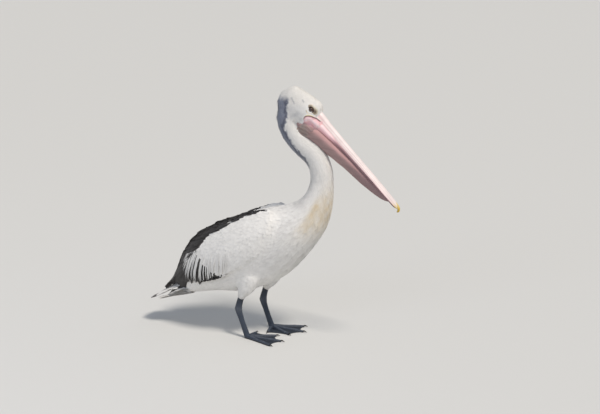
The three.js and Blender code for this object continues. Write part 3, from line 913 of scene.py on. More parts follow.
# The jaw's bare skin in the side view: its outline, the dark rim of the gape, the rounded root of
# the jaw under it, and the line below which it turns into pouch.
JAW_SKIN = [
    (171, 844), (172, 851), (182, 858), (196, 866), (203, 877), (204, 893), (210, 900), (216, 905),
    (232, 905), (245, 900), (257, 893), (270, 883), (286, 866), (300, 800), (262, 778), (227, 800),
    (207, 814), (189, 826)]
GAPE_RIM = [
    (202, 882), (204, 890), (209, 896), (215, 899), (223, 900.5), (231, 900), (240, 897), (251, 891),
    (265, 881)]
JAW_ROOT = [(212, 884), (219, 889), (228, 888), (242, 878), (258, 864), (274, 849)]
POUCH_TOP = [(196, 874), (206, 874), (226, 864), (265, 844), (290, 822)]
JAW_GRAIN = 1.25
GAPE_BROWN = linear(88, 60, 52)
THROAT_OLIVE = linear(156, 142, 134)


def outermost(x, z, sign, trees, missing=0.0):
    """How far out from the midline these surfaces reach at points of the side view, in millimetres."""
    reach = np.full(len(x), missing)
    starts = placed(np.stack([x, np.zeros(len(x)), z], -1)) + (0, sign * 0.3, 0)
    for tree in trees:
        for i, start in enumerate(starts):
            spot = tree.ray_cast(Vector(start), Vector((0, -sign, 0)), 0.3)[0]
            if spot is not None:
                reach[i] = max(reach[i], abs(spot.y) / MM)
    return reach


def side_spots(places, sign):
    """Where points of the side view lie on the hide, on the side with this sign."""
    found = []
    for x, z in places:
        start = Vector(placed((x, 0, z))) + Vector((0, sign * 0.4, 0))
        spot = skin_tree.ray_cast(start, Vector((0, -sign, 0)))[0]
        found.append(spot or skin_tree.find_nearest(start)[0])
    return np.array(found)


def bare_material(name, roughness):
    material, tree, shader, finish_of = tinted_material(
        name, roughness, 260.0, 0.22, 1500.0, Subsurface_Weight=0.08, Subsurface_Scale=0.004)
    raise_bump(tree, shader, finish_of.outputs["Height"], 0.0007)
    return material


orbit_hide = bare_material("orbit_hide", 0.5)
jaw_hide = bare_material("jaw_hide", 0.42)
bill_trees = [tree_of(maxilla), tree_of(mandible), tree_of(pouch)]
for side_name, sign in SIDES:
    angles = np.linspace(-180, 180, ORBIT_SECTORS, endpoint=False)
    reach = read_off(ORBIT_REACH, angles)
    sines, cosines = np.sin(np.radians(angles)), np.cos(np.radians(angles))
    shares = np.linspace(0, 1, ORBIT_RINGS)[:, None]
    radius = reach + (LID_OPENING - reach) * np.minimum(1, shares / 0.94)
    x, z = EYE[0] + cosines * radius, EYE[2] + sines * radius
    hide = outermost(x.ravel(), z.ravel(), sign, [skin_tree], 30).reshape(radius.shape)
    for _ in range(6):
        hide[1:-1] = (hide[:-2] + hide[2:] + np.roll(hide[1:-1], 1, 1) + np.roll(hide[1:-1], -1, 1)) / 4
    lid = EYE[1] + math.sqrt(EYE_RADIUS**2 / MM**2 - LID_OPENING**2) + 1.0
    near = ramp(shares, 0.3, 0.92)
    height = hide * (1 - near) + lid * near
    height += 1.9 * np.sin(math.pi * np.minimum(1, shares * 1.02)) ** 0.8 - 1.4 * (1 - shares) ** 6
    height += 0.26 * np.sin(np.radians(angles) * 34 + 7 * shares) * np.sin(math.pi * shares)
    height += 0.36 * np.sin(shares * math.tau * 4.2) * np.sin(math.pi * np.minimum(shares * 1.2, 1))
    height -= 2.4 * (1 - np.minimum(1, (1 - shares) / 0.08))
    rings = placed(np.stack([x, sign * height, z], -1))
    orbit = wrapped_grid(f"orbit_skin_{side_name}", rings, closed=False)
    outward = np.array([p.normal.y for p in orbit.data.polygons]).mean() * sign
    if outward < 0:
        orbit.data.flip_normals()
    worked(orbit, "SOLIDIFY", thickness=1.4 * MM, offset=-1.0)
    points = drawn(read_points(orbit.data))
    off = np.hypot(points[:, 0] - EYE[0], points[:, 2] - EYE[2])
    angle = np.degrees(np.arctan2(points[:, 2] - EYE[2], points[:, 0] - EYE[0]))
    reach = read_off(ORBIT_REACH, angle)
    share = (reach - off) / (reach - LID_OPENING)
    tones = np.tile(ORBIT_CREAM, (len(points), 1))
    tones = blend(tones, ORBIT_PALE, ramp(-off_angle(angle, -100), -80, -30))
    above = off_angle(angle, 60)
    tones = blend(tones, WHITE, 0.6 * ramp(-above, -90, -40) * ramp(-share, -0.5, -0.1))
    # Painted shade of the brow darkens the upper inner part of the ring to olive.
    tones = blend(tones, ORBIT_OLIVE_AND_BROW_SHADE, 0.5 * ramp(-above, -120, -60) * ramp(share, 0.35, 0.75))
    behind = ramp(-off_angle(angle, 140), -85, -50)
    tones = blend(tones, ORBIT_DARK, 0.9 * bell(share, 0.42, 0.08) * behind)
    corner = np.exp(-(((angle + 24) / 30) ** 2 + ((share - 0.45) / 0.34) ** 2))
    tones = blend(tones, ORBIT_OLIVE_AND_BROW_SHADE, corner)
    tones = blend(tones, ORBIT_DARK, np.clip(0.55 * corner + 0.95 * ramp(share, 0.6, 0.8), 0, 1))
    give_tint(orbit, tones)
    orbit.data.materials.append(orbit_hide)
    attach(orbit, "root")

    # The jaw's skin: a fine sheet over hide and bill, cut to its outline and given a thickness. Its
    # relief is raised along the jaw's root and the gape's rim, and folded below.
    across = np.arange(166, 302, JAW_GRAIN)
    up = np.arange(774, 912, JAW_GRAIN)
    x, z = (grid.ravel() for grid in np.meshgrid(across, up, indexing="ij"))
    size = (len(across), len(up))
    inner = off_line(x, z, JAW_SKIN + JAW_SKIN[:1]) * np.where(within(JAW_SKIN, x, z), 1, -1)
    hide = outermost(x, z, sign, [skin_tree])
    body = np.maximum(hide, outermost(x, z, sign, bill_trees)).reshape(size)
    soft = body.copy()
    for _ in range(26):
        soft[1:-1, 1:-1] = (soft[:-2, 1:-1] + soft[2:, 1:-1] + soft[1:-1, :-2] + soft[1:-1, 2:]) / 4
    body = np.maximum(body, soft).ravel()
    x_bill = (x - BILL_ROOT[0]) * math.cos(BILL_PITCH) - (z - BILL_ROOT[1]) * math.sin(BILL_PITCH)
    gape, root = off_line(x, z, GAPE_RIM), off_line(x, z, JAW_ROOT)
    under = read_off(POUCH_TOP, x) - z
    fold = np.sin((x * 0.55 + z) * 0.42 + 1.2 * np.sin(x * 0.11)) + 0.5 * np.sin((x * 0.8 + z) * 0.93 + 2)
    relief = 1.0 + 3.4 * np.exp(-(root / 9) ** 2) + 1.1 * np.exp(-(gape / 1.8) ** 2)
    relief += -1.5 * np.exp(-((gape - 4.0) / 2.0) ** 2) * (z < read_off(GAPE_RIM, x))
    relief += 0.55 * fold * ramp(under, 0, 8)
    edge = ramp(inner, -2.6, 2.6)
    ahead = ramp(x_bill, 26, 48)
    height = body + relief * edge * (1 - ahead) - 2.2 * (1 - edge) - 2.6 * ahead
    height = np.where(body < 6, 6, height)
    sheet = placed(np.stack([x, sign * height, z], -1))
    cells = np.arange(len(x)).reshape(size)
    kept = ((inner > -2.6) & (x_bill < 50) & (body > 12)).reshape(size)
    whole = kept[:-1, :-1] & kept[1:, :-1] & kept[1:, 1:] & kept[:-1, 1:]
    cell_corners = (cells[:-1, :-1], cells[1:, :-1], cells[1:, 1:], cells[:-1, 1:])
    quads = np.stack([corner[whole] for corner in cell_corners], -1)
    used, quads = np.unique(quads, return_inverse=True)
    quads = quads.reshape(-1, 4)[:, ::1 if sign < 0 else -1]
    tones = np.tile(RAMUS_PINK, (len(used), 1))
    gape, root, under, x, z, x_bill = (values[used] for values in (gape, root, under, x, z, x_bill))
    # A painted highlight along the raised ridge of the jaw's root.
    tones = blend(tones, RAMUS_HIGHLIGHT, np.exp(-(root / 8) ** 2))
    # Painted shade just above the line where the jaw turns into pouch.
    tones = blend(tones, RAMUS_SHADE, 0.4 * ramp(under, -8, 0))
    tones = blend(tones, POUCH_BROWN, ramp(under, -4, 9))
    tones = blend(tones, POUCH_PINK, 0.3 * ramp(under, -4, 9) * ramp(x, 225, 262))
    tones = blend(tones, THROAT_OLIVE, 0.8 * ramp(under, 0, 10) * ramp(-x, -236, -196))
    # Painted shade in the hollows of the folds.
    tones = blend(tones, POUCH_FOLD_SHADE, 0.4 * ramp(-fold[used], 0.2, 1.3) * ramp(under, 0, 8))
    over = ramp(z - read_off(GAPE_RIM, x), -0.5, 1.5) * (x > 204)
    tones = blend(tones, ORBIT_PALE, over * ramp(-x, -252, -236))
    tones = blend(tones, MAXILLA_PALE, over * ramp(x, 236, 252))
    tones = blend(tones, GAPE_BROWN, 0.95 * np.exp(-(gape / 1.9) ** 4))
    jaw = new_mesh(f"jaw_skin_{side_name}", sheet[used], quads, np.empty((0, 3), int), 60)
    give_tint(jaw, tones)
    worked(jaw, "SOLIDIFY", thickness=1.2 * MM, offset=-1.0)
    jaw.data.materials.append(jaw_hide)
    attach(jaw, "root")

# ---------------------------------------------------------------- how a feather is made
# Each feather is a thin closed blade with a ridge along its shaft, rooted in the hide. It is walked
# back over the hide the way the plumage lies there, and its tip lifts over the feathers behind it.

# Outlines: (share of the length, share of the width) between the root and the tip.
SHORT_TUFT = ((0.30, 0.85), (0.74, 0.95))
SOFT_TUFT = ((0.14, 0.6), (0.48, 1.0), (0.84, 0.62))
CONTOUR = ((0.10, 0.4), (0.42, 0.88), (0.74, 1.0), (0.93, 0.62))
HACKLE = ((0.10, 0.5), (0.38, 1.0), (0.66, 0.8), (0.88, 0.42))
LANCE = ((0.05, 0.35), (0.22, 0.8), (0.42, 1.0), (0.6, 0.9), (0.76, 0.66), (0.9, 0.36))
QUILL = ((0.04, 0.3), (0.16, 0.66), (0.34, 0.9), (0.54, 1.0), (0.72, 1.0), (0.86, 0.84), (0.95, 0.52))
# Sections: (place across from edge to edge, height as a share of the camber).
ROOF = ((-1, 0), (0, 1), (1, 0))
ARCH = ((-1, 0), (-0.55, 0.72), (0, 1), (0.55, 0.72), (1, 0))
FEATHER_SINK = -0.0012
PATCH = 0.003

skin.data.calc_loop_triangles()
hide_triangles = np.array([t.vertices for t in skin.data.loop_triangles])


def scatter(region, spacing, seed):
    """Roots spread over the hide where every corner of a face is in the region: places and lies."""
    dice = np.random.default_rng(seed)
    corners = hide_triangles[region[hide_triangles].all(axis=1)]
    a, b, c = (skin_points[corners[:, k]] for k in range(3))
    areas = np.linalg.norm(np.cross(b - a, c - a), axis=1)
    tries = int(areas.sum() / 2 / spacing**2 * 5)
    chosen = corners[dice.choice(len(corners), tries, p=areas / areas.sum())]
    cuts = np.sort(dice.random((tries, 2)), axis=1)
    weights = np.stack([cuts[:, 0], cuts[:, 1] - cuts[:, 0], 1 - cuts[:, 1]], axis=1)[:, :, None]
    spots = (skin_points[chosen] * weights).sum(axis=1)
    ways = (lie[chosen] * weights).sum(axis=1)
    taken = {}
    kept = []
    for i, (x, y, z) in enumerate((spots / spacing).tolist()):
        cell = (math.floor(x), math.floor(y), math.floor(z))
        near = False
        for dx in (-1, 0, 1):
            for dy in (-1, 0, 1):
                for dz in (-1, 0, 1):
                    for p, q, r in taken.get((cell[0] + dx, cell[1] + dy, cell[2] + dz), ()):
                        near = near or (p - x) ** 2 + (q - y) ** 2 + (r - z) ** 2 < 1
        if not near:
            taken.setdefault(cell, []).append((x, y, z))
            kept.append(i)
    return spots[kept], unit(ways[kept])


def draped(roots, ways, lengths, shares):
    """Walks from each root over the hide. Gives the places and normals at these shares of its length."""
    places = np.empty((len(roots), len(shares), 3))
    normals = np.empty_like(places)
    for i, (root, way, length) in enumerate(zip(roots, ways, lengths)):
        here, heading, done = Vector(root), Vector(way), 0
        for k, share in enumerate(shares):
            here, normal = skin_tree.find_nearest(here + heading * ((share - done) * length))[:2]
            heading = (heading - normal * heading.dot(normal)).normalized()
            places[i, k], normals[i, k], done = here, normal, share
    return places, normals


def shares_of(outline):
    return [0, *(share for share, _ in outline), 1]


def turned(ways, normals, angles):
    """Ways turned about their normals by angles in radians."""
    return ways * np.cos(angles)[:, None] + np.cross(normals, ways) * np.sin(angles)[:, None]


def paint_uv(thing, name, values):
    """A UV map from one place per point."""
    layer = thing.data.uv_layers.new(name=name)
    corners = np.empty(len(thing.data.loops), int)
    thing.data.loops.foreach_get("vertex_index", corners)
    layer.data.foreach_set("uv", values[corners].astype(np.float32).ravel())


def spread(values):
    """Values stretched to run from just above 0 to just under 1."""
    low, high = values.min(), values.max()
    return 0.01 + 0.98 * (values - low) / max(high - low, 1e-9)


def feather_mesh(name, places, normals, outline, widths, lift, camber, tints,
                 section=ROOF, unwrap=None, roll=0.0, calm=0.65):
    """Closed blades along these walked lines, joined into one object.

    Width, lift at the tip and camber are per feather, in metres. Tints are per feather, or per ring.
    Roll is in radians: it raises one edge over the next feather's. Calm is how far the outer faces
    shade with the body under them, as one soft coat.
    """
    count, rings = places.shape[:2]
    across = np.array([a for a, _ in section])
    arch = np.array([h for _, h in section])
    shares = np.array(shares_of(outline))
    width = np.array([0, *(w for _, w in outline), 0])
    ways = unit(np.gradient(places, axis=1))
    sides = unit(np.cross(ways, normals))
    tilt = np.reshape(roll, (-1, 1, 1))
    cosine, sine = np.cos(tilt), np.sin(tilt)
    sides, normals = sides * cosine + normals * sine, normals * cosine - sides * sine
    height = FEATHER_SINK * (1 - shares) + np.outer(lift, shares**1.3)
    centre = places + normals * height[:, :, None]
    inner = slice(1, rings - 1)
    half = (widths[:, None] / 2 * width[None, inner])[:, :, None, None]
    high = (camber[:, None] * width[None, inner])[:, :, None, None]
    body = (centre[:, inner, None] + sides[:, inner, None] * half * across[None, None, :, None]
            + normals[:, inner, None] * high * arch[None, None, :, None])
    wide = len(section)
    each = (rings - 2) * wide + 2
    points = np.concatenate([body.reshape(count, -1, 3), centre[:, :1], centre[:, -1:]], axis=1)
    ring = np.arange(wide)
    after = (ring + 1) % wide
    level = np.arange(rings - 3)[:, None] * wide
    quads = np.stack([level + ring, level + after, level + after + wide, level + ring + wide], -1)
    quads = quads.reshape(-1, 4)
    last = (rings - 3) * wide
    root, tip = each - 2, each - 1
    fan = np.concatenate([
        np.stack([np.full(wide, root), after, ring], -1),
        np.stack([ring + last, after + last, np.full(wide, tip)], -1)])
    offset = (np.arange(count) * each)[:, None, None]
    thing = new_mesh(
        name, points.reshape(-1, 3), (quads + offset).reshape(-1, 4), (fan + offset).reshape(-1, 3))
    side_share = np.concatenate([np.tile(across, rings - 2), [0, 0]])
    long_share = np.concatenate([np.repeat(shares[inner], wide), [0, 1]])
    paint_uv(thing, "Vane", np.tile(np.stack([side_share / 2 + 0.5, long_share], -1), (count, 1)))
    if unwrap is None:
        _, spine_run_share, spine_turn, _ = along_spine(places[:, 0])
        unwrap = np.stack([spine_run_share, spine_turn / math.tau + 0.5], -1)
    flat = np.stack([spread(unwrap[:, 0]), spread(unwrap[:, 1])], -1)
    patch = np.stack([side_share / 2, long_share - 0.5], -1) * PATCH
    paint_uv(thing, "OFBake", (flat[:, None] + patch[None]).reshape(-1, 2))
    if tints.ndim == 2:
        tints = np.repeat(tints[:, None], rings, axis=1)

    def at_points(values):
        """Values per ring as values per point, in the order of the points."""
        body_values = np.repeat(values[:, inner], wide, axis=1)
        return np.concatenate([body_values, values[:, :1], values[:, -1:]], axis=1).reshape(-1, 3)

    give_tint(thing, at_points(tints))
    corners = np.empty(len(thing.data.loops), int)
    thing.data.loops.foreach_get("vertex_index", corners)
    own = np.empty(len(corners) * 3, np.float32)
    thing.data.corner_normals.foreach_get("vector", own)
    own = own.reshape(-1, 3)
    beneath = at_points(normals)[corners]
    outer = (own * beneath).sum(axis=1, keepdims=True) > 0.3
    thing.data.normals_split_custom_set(np.where(outer, unit(own * (1 - calm) + beneath * calm), own))
    return thing


# Barbs run out from the shaft towards the tip. They darken the vane a little between them and
# raise it in fine slanting lines, and the shaft itself shows as a thin line.
vane, given, out = new_group(
    "vane",
    [("Color", "Color", (1, 1, 1, 1)), ("Shaft Color", "Color", (1, 1, 1, 1)),
     ("Edge Color", "Color", (1, 1, 1, 1)), ("Edge", "Float", 0.0), ("Depth", "Float", 0.1)],
    [("Color", "Color"), ("Height", "Float")])
place = node(vane, "ShaderNodeSeparateXYZ")
vane.links.new(node(vane, "ShaderNodeUVMap", uv_map="Vane").outputs["UV"], place.inputs["Vector"])
aside = maths(vane, "ABSOLUTE", maths(vane, "MULTIPLY_ADD", place.outputs["X"], 2.0, -1.0))
slant = maths(vane, "MULTIPLY_ADD", aside, -0.22, place.outputs["Y"])
barbs = maths(vane, "SINE", maths(vane, "MULTIPLY", slant, 260.0))
lines = maths(vane, "MULTIPLY_ADD", barbs, 0.5, 0.5)
shade = maths(vane, "SUBTRACT", 1.0, maths(vane, "MULTIPLY", lines, given.outputs["Depth"]))
shaft = maths(vane, "LESS_THAN", aside, 0.07)
# The edges take the edge colour: on black vanes a paler brown fringe, which is also a painted highlight
# along them.
rim = maths(vane, "SMOOTH_MIN", maths(vane, "POWER", aside, 7.0), 1.0, 0.1)
rim = maths(vane, "MULTIPLY", rim, given.outputs["Edge"])
colour = toned(vane, given.outputs["Color"], shade)
colour = mixed(vane, rim, colour, given.outputs["Edge Color"])
colour = mixed(vane, maths(vane, "MULTIPLY", shaft, 0.5), colour, given.outputs["Shaft Color"])
vane.links.new(colour, out.inputs["Color"])
vane.links.new(maths(vane, "ADD", lines, maths(vane, "MULTIPLY", shaft, 2.0)), out.inputs["Height"])


def vane_material(name, roughness, shaft_colour, edge_colour, edge, depth, **settings):
    material, tree, shader, patched = tinted_material(name, roughness, 45.0, 0.08, 1200.0, **settings)
    made = add_group(tree, vane, patched.outputs["Color"], Edge=edge, Depth=depth,
                     Shaft_Color=(*shaft_colour, 1), Edge_Color=(*edge_colour, 1))
    tree.links.new(made.outputs["Color"], shader.inputs["Base Color"])
    raise_bump(tree, shader, made.outputs["Height"], 0.0001, 0.6)
    return material


white_vane = vane_material("white_vane", 0.7, linear(214, 208, 196), WHITE, 0.0, 0.08, Sheen_Weight=0.15)
black_vane = vane_material(
    "black_vane", 0.5, linear(74, 64, 58), linear(78, 66, 58), 0.45, 0.35, Sheen_Weight=0.1)


def dress(thing, material, slot, *nodes):
    """Gives a coat piece its material, its body and the solids that it stands for. The slot is not used."""
    thing.data.materials.append(material)
    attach(thing, "root")
    if nodes:
        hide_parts(*nodes)


def plume(name, region, spacing, length, width, lift, seed, outline, camber=0.065, yaw=4.5):
    """A tract of feathers over a region of the hide. Sizes are in millimetres; lift is at the tip."""
    dice = np.random.default_rng(seed)
    roots, ways = scatter(region, spacing * MM, seed)
    count = len(roots)
    vary = dice.normal(0, 1, (4, count)).clip(-2, 2)
    size = np.interp(eye_distance(roots), (0.018, 0.05), (0.6, 1))
    lengths = length * MM * (1 + 0.12 * vary[0]) * size
    widths = width * MM * (1 + 0.1 * vary[1]) * size
    _, normals = draped(roots, ways, lengths, [0])
    ways = unit(turned(ways, normals[:, 0], np.radians(yaw) * vary[2]))
    places, normals = draped(roots, ways, lengths, shares_of(outline))
    tints = markings(places[:, len(outline) // 2 + 1])
    tints = tints * (1 + 0.03 * vary[3])[:, None]
    return feather_mesh(name, places, normals, outline, widths, lift * MM * (1 + 0.07 * vary[3]) * size,
                        widths * camber, tints, calm=0.75)

# ---------------------------------------------------------------- body plumage
# Short tufts on the head, growing down the neck into lances on the breast and broad contour
# feathers on back, belly and flanks. They leave bare the bill's root and the skin round the eye.

ORBIT_BARE = 0.0195
HEAD_START = 11.5
# Where feathers run down the cheek between the gape's corner and the pouch, in the side view.
CHEEK_CORNER = [(168, 854), (182, 859), (196, 867), (203, 878), (203, 898), (186, 902), (164, 892)]
station, _, turn, _ = along_spine(skin_points)
bare = np.zeros(len(skin_points), bool)
for i, point in enumerate(skin_points):
    spot, normal, _, gap = bill_tree.find_nearest(Vector(point))
    bare[i] = gap < 0.0012 or (Vector(point) - spot).dot(normal) < 0
bare |= eye_distance(skin_points) < ORBIT_BARE
on_jaw = within(JAW_SKIN, *drawn(skin_points).T[[0, 2]])
bare |= on_jaw & (station > HEAD_START)
bare &= ~within(CHEEK_CORNER, *drawn(skin_points).T[[0, 2]])
wing_gap, wing_along, wing_down = on_wing(skin_points)
is_wing = (wing_gap < 0.016) & (station < NECK_ROOT + 1)
on_thigh = on_thighs(skin_points, 0.002, 0.215)
trunk = ~is_wing & ~on_thigh & ~bare & (station < NECK_ROOT + 0.1)
side = skin_points[:, 1]
front = np.abs(turn) > math.radians(70)

TRACTS = [
    # name, where, spacing, length, width, lift, outline
    ("face_right", (station > 15.4) & (side < 0.002), 2.2, 8, 2.8, 1.7, SHORT_TUFT),
    ("face_left", (station > 15.4) & (side > -0.002), 2.2, 8, 2.8, 1.7, SHORT_TUFT),
    ("nape_right", (station > 13.2) & (station < 15.5) & (side < 0.002), 2.6, 10.5, 3.2, 2.2, SHORT_TUFT),
    ("nape_left", (station > 13.2) & (station < 15.5) & (side > -0.002), 2.6, 10.5, 3.2, 2.2, SHORT_TUFT),
    ("neck_upper", (station > 10.4) & (station < 13.3), 3.2, 15, 4.0, 2.4, SOFT_TUFT),
    ("neck_lower", (station > 7.2) & (station < 10.5) & ~is_wing, 4.2, 24, 5.2, 2.8, HACKLE),
    ("breast", trunk & front & (station > 4.2), 5.0, 33, 6.8, 3.0, HACKLE),
    ("mantle", trunk & ~front & (station > 2), 6.6, 38, 12.0, 2.8, CONTOUR),
    ("belly", trunk & front & (station <= 4.3), 6.2, 40, 11.0, 3.0, CONTOUR),
    ("rump", trunk & ~front & (station <= 2.1), 6.2, 36, 11.0, 3.0, CONTOUR),
    ("thigh_plumes", on_thigh, 4.6, 22, 6.0, 2.4, HACKLE),
]
for seed, (name, where, spacing, length, width, lift, outline) in enumerate(TRACTS):
    tract = plume(f"plumage_{name}", where & ~bare, spacing, length, width, lift, 100 + seed, outline)
    dress(tract, white_vane, "white_plumage")

# ---------------------------------------------------------------- the crest
# A short shaggy crest of narrow plumes hangs from the back of the crown over the top of the nape.

CREST_COUNT = 90
CREST_TOP = (120, 968)
CREST_FOOT = (88, 905)
dice = np.random.default_rng(40)
down_share = dice.random(CREST_COUNT)
crest_x = CREST_TOP[0] + (CREST_FOOT[0] - CREST_TOP[0]) * down_share**0.8
crest_z = CREST_TOP[1] + (CREST_FOOT[1] - CREST_TOP[1]) * down_share
crest_y = dice.normal(0, 9, CREST_COUNT).clip(-20, 20)
crest_roots = placed(np.stack([crest_x - 30, crest_y, crest_z], -1))
crest_roots = np.array([skin_tree.find_nearest(Vector(p))[0] for p in crest_roots])
crest_ways = unit(np.stack([np.full(CREST_COUNT, -0.45), crest_y * 0.006, np.full(CREST_COUNT, -1.0)], -1))
crest_lengths = dice.uniform(20, 32, CREST_COUNT) * MM
places, normals = draped(crest_roots, crest_ways, crest_lengths, shares_of(HACKLE))
crest_lift = dice.uniform(5, 8.5, CREST_COUNT) * MM
crest_tints = markings(places[:, 2]) * dice.uniform(0.9, 1.05, (CREST_COUNT, 1))
crest = feather_mesh(
    "crest", places, normals, HACKLE, np.full(CREST_COUNT, 3.2 * MM), crest_lift,
    np.full(CREST_COUNT, 0.5 * MM), crest_tints)
dress(crest, white_vane, "white_plumage")

# ---------------------------------------------------------------- wings
# Rows of white coverts over the folded wing, black shoulder feathers along its top, black flight
# feathers below and behind, and long narrow white plumes that hang over the black ones.

# Root and tip of the hanging white plumes and of the black ones under them, in the side view.
STREAMER_ROOTS = [(-262, 372), (-246, 392), (-222, 404), (-192, 412), (-158, 414), (-118, 408), (-76, 398)]
STREAMER_TIPS = [(-292, 276), (-276, 238), (-250, 216), (-212, 204), (-172, 214), (-124, 240), (-70, 282)]
BLACK_ROOTS = [(-304, 278), (-270, 284), (-235, 288), (-200, 286), (-168, 280), (-132, 274), (-100, 270)]
BLACK_TIPS = [(-346, 186), (-312, 196), (-262, 194), (-214, 192), (-176, 202), (-136, 220), (-104, 240)]


def hung(name, sign, roots, tips, count, width, lift, outline, colour, seed, jitter=5.0, roll=10.0):
    """A row of long feathers from one line of the side view to another."""
    dice = np.random.default_rng(seed)
    shares = (np.arange(count) + dice.uniform(0.25, 0.75, count)) / count
    flat_roots = through(roots, shares) + dice.normal(0, jitter * 0.6, (count, 2))
    flat_tips = through(tips, shares) + dice.normal(0, jitter, (count, 2))
    starts = side_spots(flat_roots, sign)
    reach = (flat_tips - flat_roots) * MM
    lengths = np.linalg.norm(reach, axis=1)
    ways = unit(np.stack([reach[:, 0], np.zeros(count), reach[:, 1]], -1))
    places, normals = draped(starts, ways, lengths, shares_of(outline))
    widths = width * MM * dice.uniform(0.85, 1.15, count)
    tints = np.array(colour) * dice.uniform(0.9, 1.06, (count, 1))
    return feather_mesh(name, places, normals, outline, widths, (lift + 0.9 * (np.arange(count) % 3)) * MM,
                        widths * 0.09, tints, ARCH, flat_roots, math.radians(roll) * sign)


# By share along the wing's top edge: how far down from it the black feathers root, in millimetres,
# and how long they are. They start at these shares, further back on the left side.
SHOULDER_STARTS = {"right": 0.05, "left": 0.17}
SHOULDER_ROWS = [
    (0.04, 6), (0.2, 17), (0.3, 25), (0.4, 36), (0.5, 52), (0.6, 74), (0.7, 84), (0.85, 42), (1.0, 16)]
SHOULDER_LENGTHS = [(0, 46), (0.3, 78), (0.6, 104), (0.8, 96), (1.0, 40)]
is_black = skin_tint.sum(axis=1) < 0.2
for side_name, sign in SIDES:
    own = is_wing & ~bare & (side * sign > 0)
    white_field = plume(f"coverts_{side_name}", own & ~is_black, 6.2, 36, 11.5, 2.4, 60 + sign, CONTOUR,
                        camber=0.05, yaw=3.5)
    dress(white_field, white_vane, "white_plumage", f"wing_{side_name}")
    black_field = plume(f"dark_coverts_{side_name}", own & is_black, 7.6, 36, 13, 2.8, 70 + sign, CONTOUR)
    dress(black_field, black_vane, "black_plumage", f"flight_feathers_{side_name}")
    black_row = hung(
        f"secondaries_{side_name}", sign, BLACK_ROOTS, BLACK_TIPS, 26, 15, 5.0, QUILL, BLACK, 80 + sign)
    dress(black_row, black_vane, "black_plumage")
    white_row = hung(
        f"streamers_{side_name}", sign, STREAMER_ROOTS, STREAMER_TIPS, 40, 8.2, 7.6, LANCE, WHITE, 90 + sign,
        9.0)
    dress(white_row, white_vane, "white_plumage")

    # Shoulder feathers and tertials: staggered rows along the wing's top edge, over it and inside it.
    dice = np.random.default_rng(50 + sign)
    spots = []
    for row, share in enumerate(np.arange(SHOULDER_STARTS[side_name], 0.93, 0.02)):
        limit = read_off(SHOULDER_ROWS, share)
        for drop in np.arange(-16 + 6 * (row % 2), limit, 12):
            spots.append((share, drop))
    spots = np.array(spots) + dice.normal(0, 1, (len(spots), 2)) * (0.004, 1.6)
    rails = [placed(through(rail, spots[:, 0])) for rail in (WING_TOP, WING_LOW)]
    height = np.linalg.norm(rails[1] - rails[0], axis=1)
    starts = wing_face(spots[:, 0], np.maximum(spots[:, 1], 0) * MM / height)
    starts[:, 1] += np.minimum(spots[:, 1], 0) * MM
    ahead, behind = (placed(through(WING_TOP, spots[:, 0] + step)) for step in (-0.01, 0.01))
    ways = unit(behind - ahead)
    starts[:, 1] *= sign
    ways[:, 1] *= sign
    lengths = read_off(SHOULDER_LENGTHS, spots[:, 0]) * MM * dice.uniform(0.85, 1.1, len(spots))
    places, normals = draped(starts, ways, lengths, shares_of(QUILL))
    widths = np.interp(spots[:, 0], (0.05, 0.35, 1), (9, 17, 19)) * MM
    shoulder = feather_mesh(
        f"shoulder_feathers_{side_name}", places, normals, QUILL, widths,
        dice.uniform(4.5, 6.5, len(spots)) * MM, widths * 0.08,
        np.array(BLACK) * dice.uniform(0.8, 1.25, (len(spots), 1)), ARCH, spots, math.radians(6) * sign)
    dress(shoulder, black_vane, "black_plumage")

# ---------------------------------------------------------------- tail
# Twenty-two short stiff feathers in a shallow fan, pale grey, and brown-black towards their ends.
# Coverts lie over and under them: white, but for dark ones along the ridge above.

# Along the tail: x, z of its middle, half width, height above and depth below, in millimetres.
TAIL_FORM = np.array([
    (-484, 97, 46, 2.5, 3.5), (-458, 109, 60, 6, 10), (-420, 127, 58, 11, 20), (-372, 151, 50, 18, 32),
    (-330, 172, 44, 20, 44), (-280, 196, 60, 48, 58)])
TAIL_BROWN = linear(60, 50, 46)
TAIL_GREY = linear(214, 210, 206)
TAIL_COUNT = 22


def tail_lines(roots, tips, outline, level):
    """Straight feather lines in the tail from (x, y) to (x, y), at a level from -1, under, to 1, over."""
    shares = np.array(shares_of(outline))[None, :, None]
    flat = roots[:, None] + (tips - roots)[:, None] * shares
    along, *form = TAIL_FORM.T
    middle, half, up, deep = (np.interp(flat[..., 0], along, values) for values in form)
    dome = np.sqrt(np.clip(1 - (flat[..., 1] / (half * 1.06)) ** 2, 0.05, 1))
    z = middle + np.where(level > 0, up, deep) * level * dome
    places = placed(np.stack([flat[..., 0], flat[..., 1], z], -1))
    slope = unit(np.gradient(places, axis=1))
    aside = np.clip(flat[..., 1] / half, -0.9, 0.9) * 0.3
    normals = np.stack([np.zeros_like(aside), aside, np.ones_like(aside)], -1)
    normals = unit(normals - slope * (normals * slope).sum(axis=-1, keepdims=True))
    return places, normals * (1 if level >= 0 else -1)


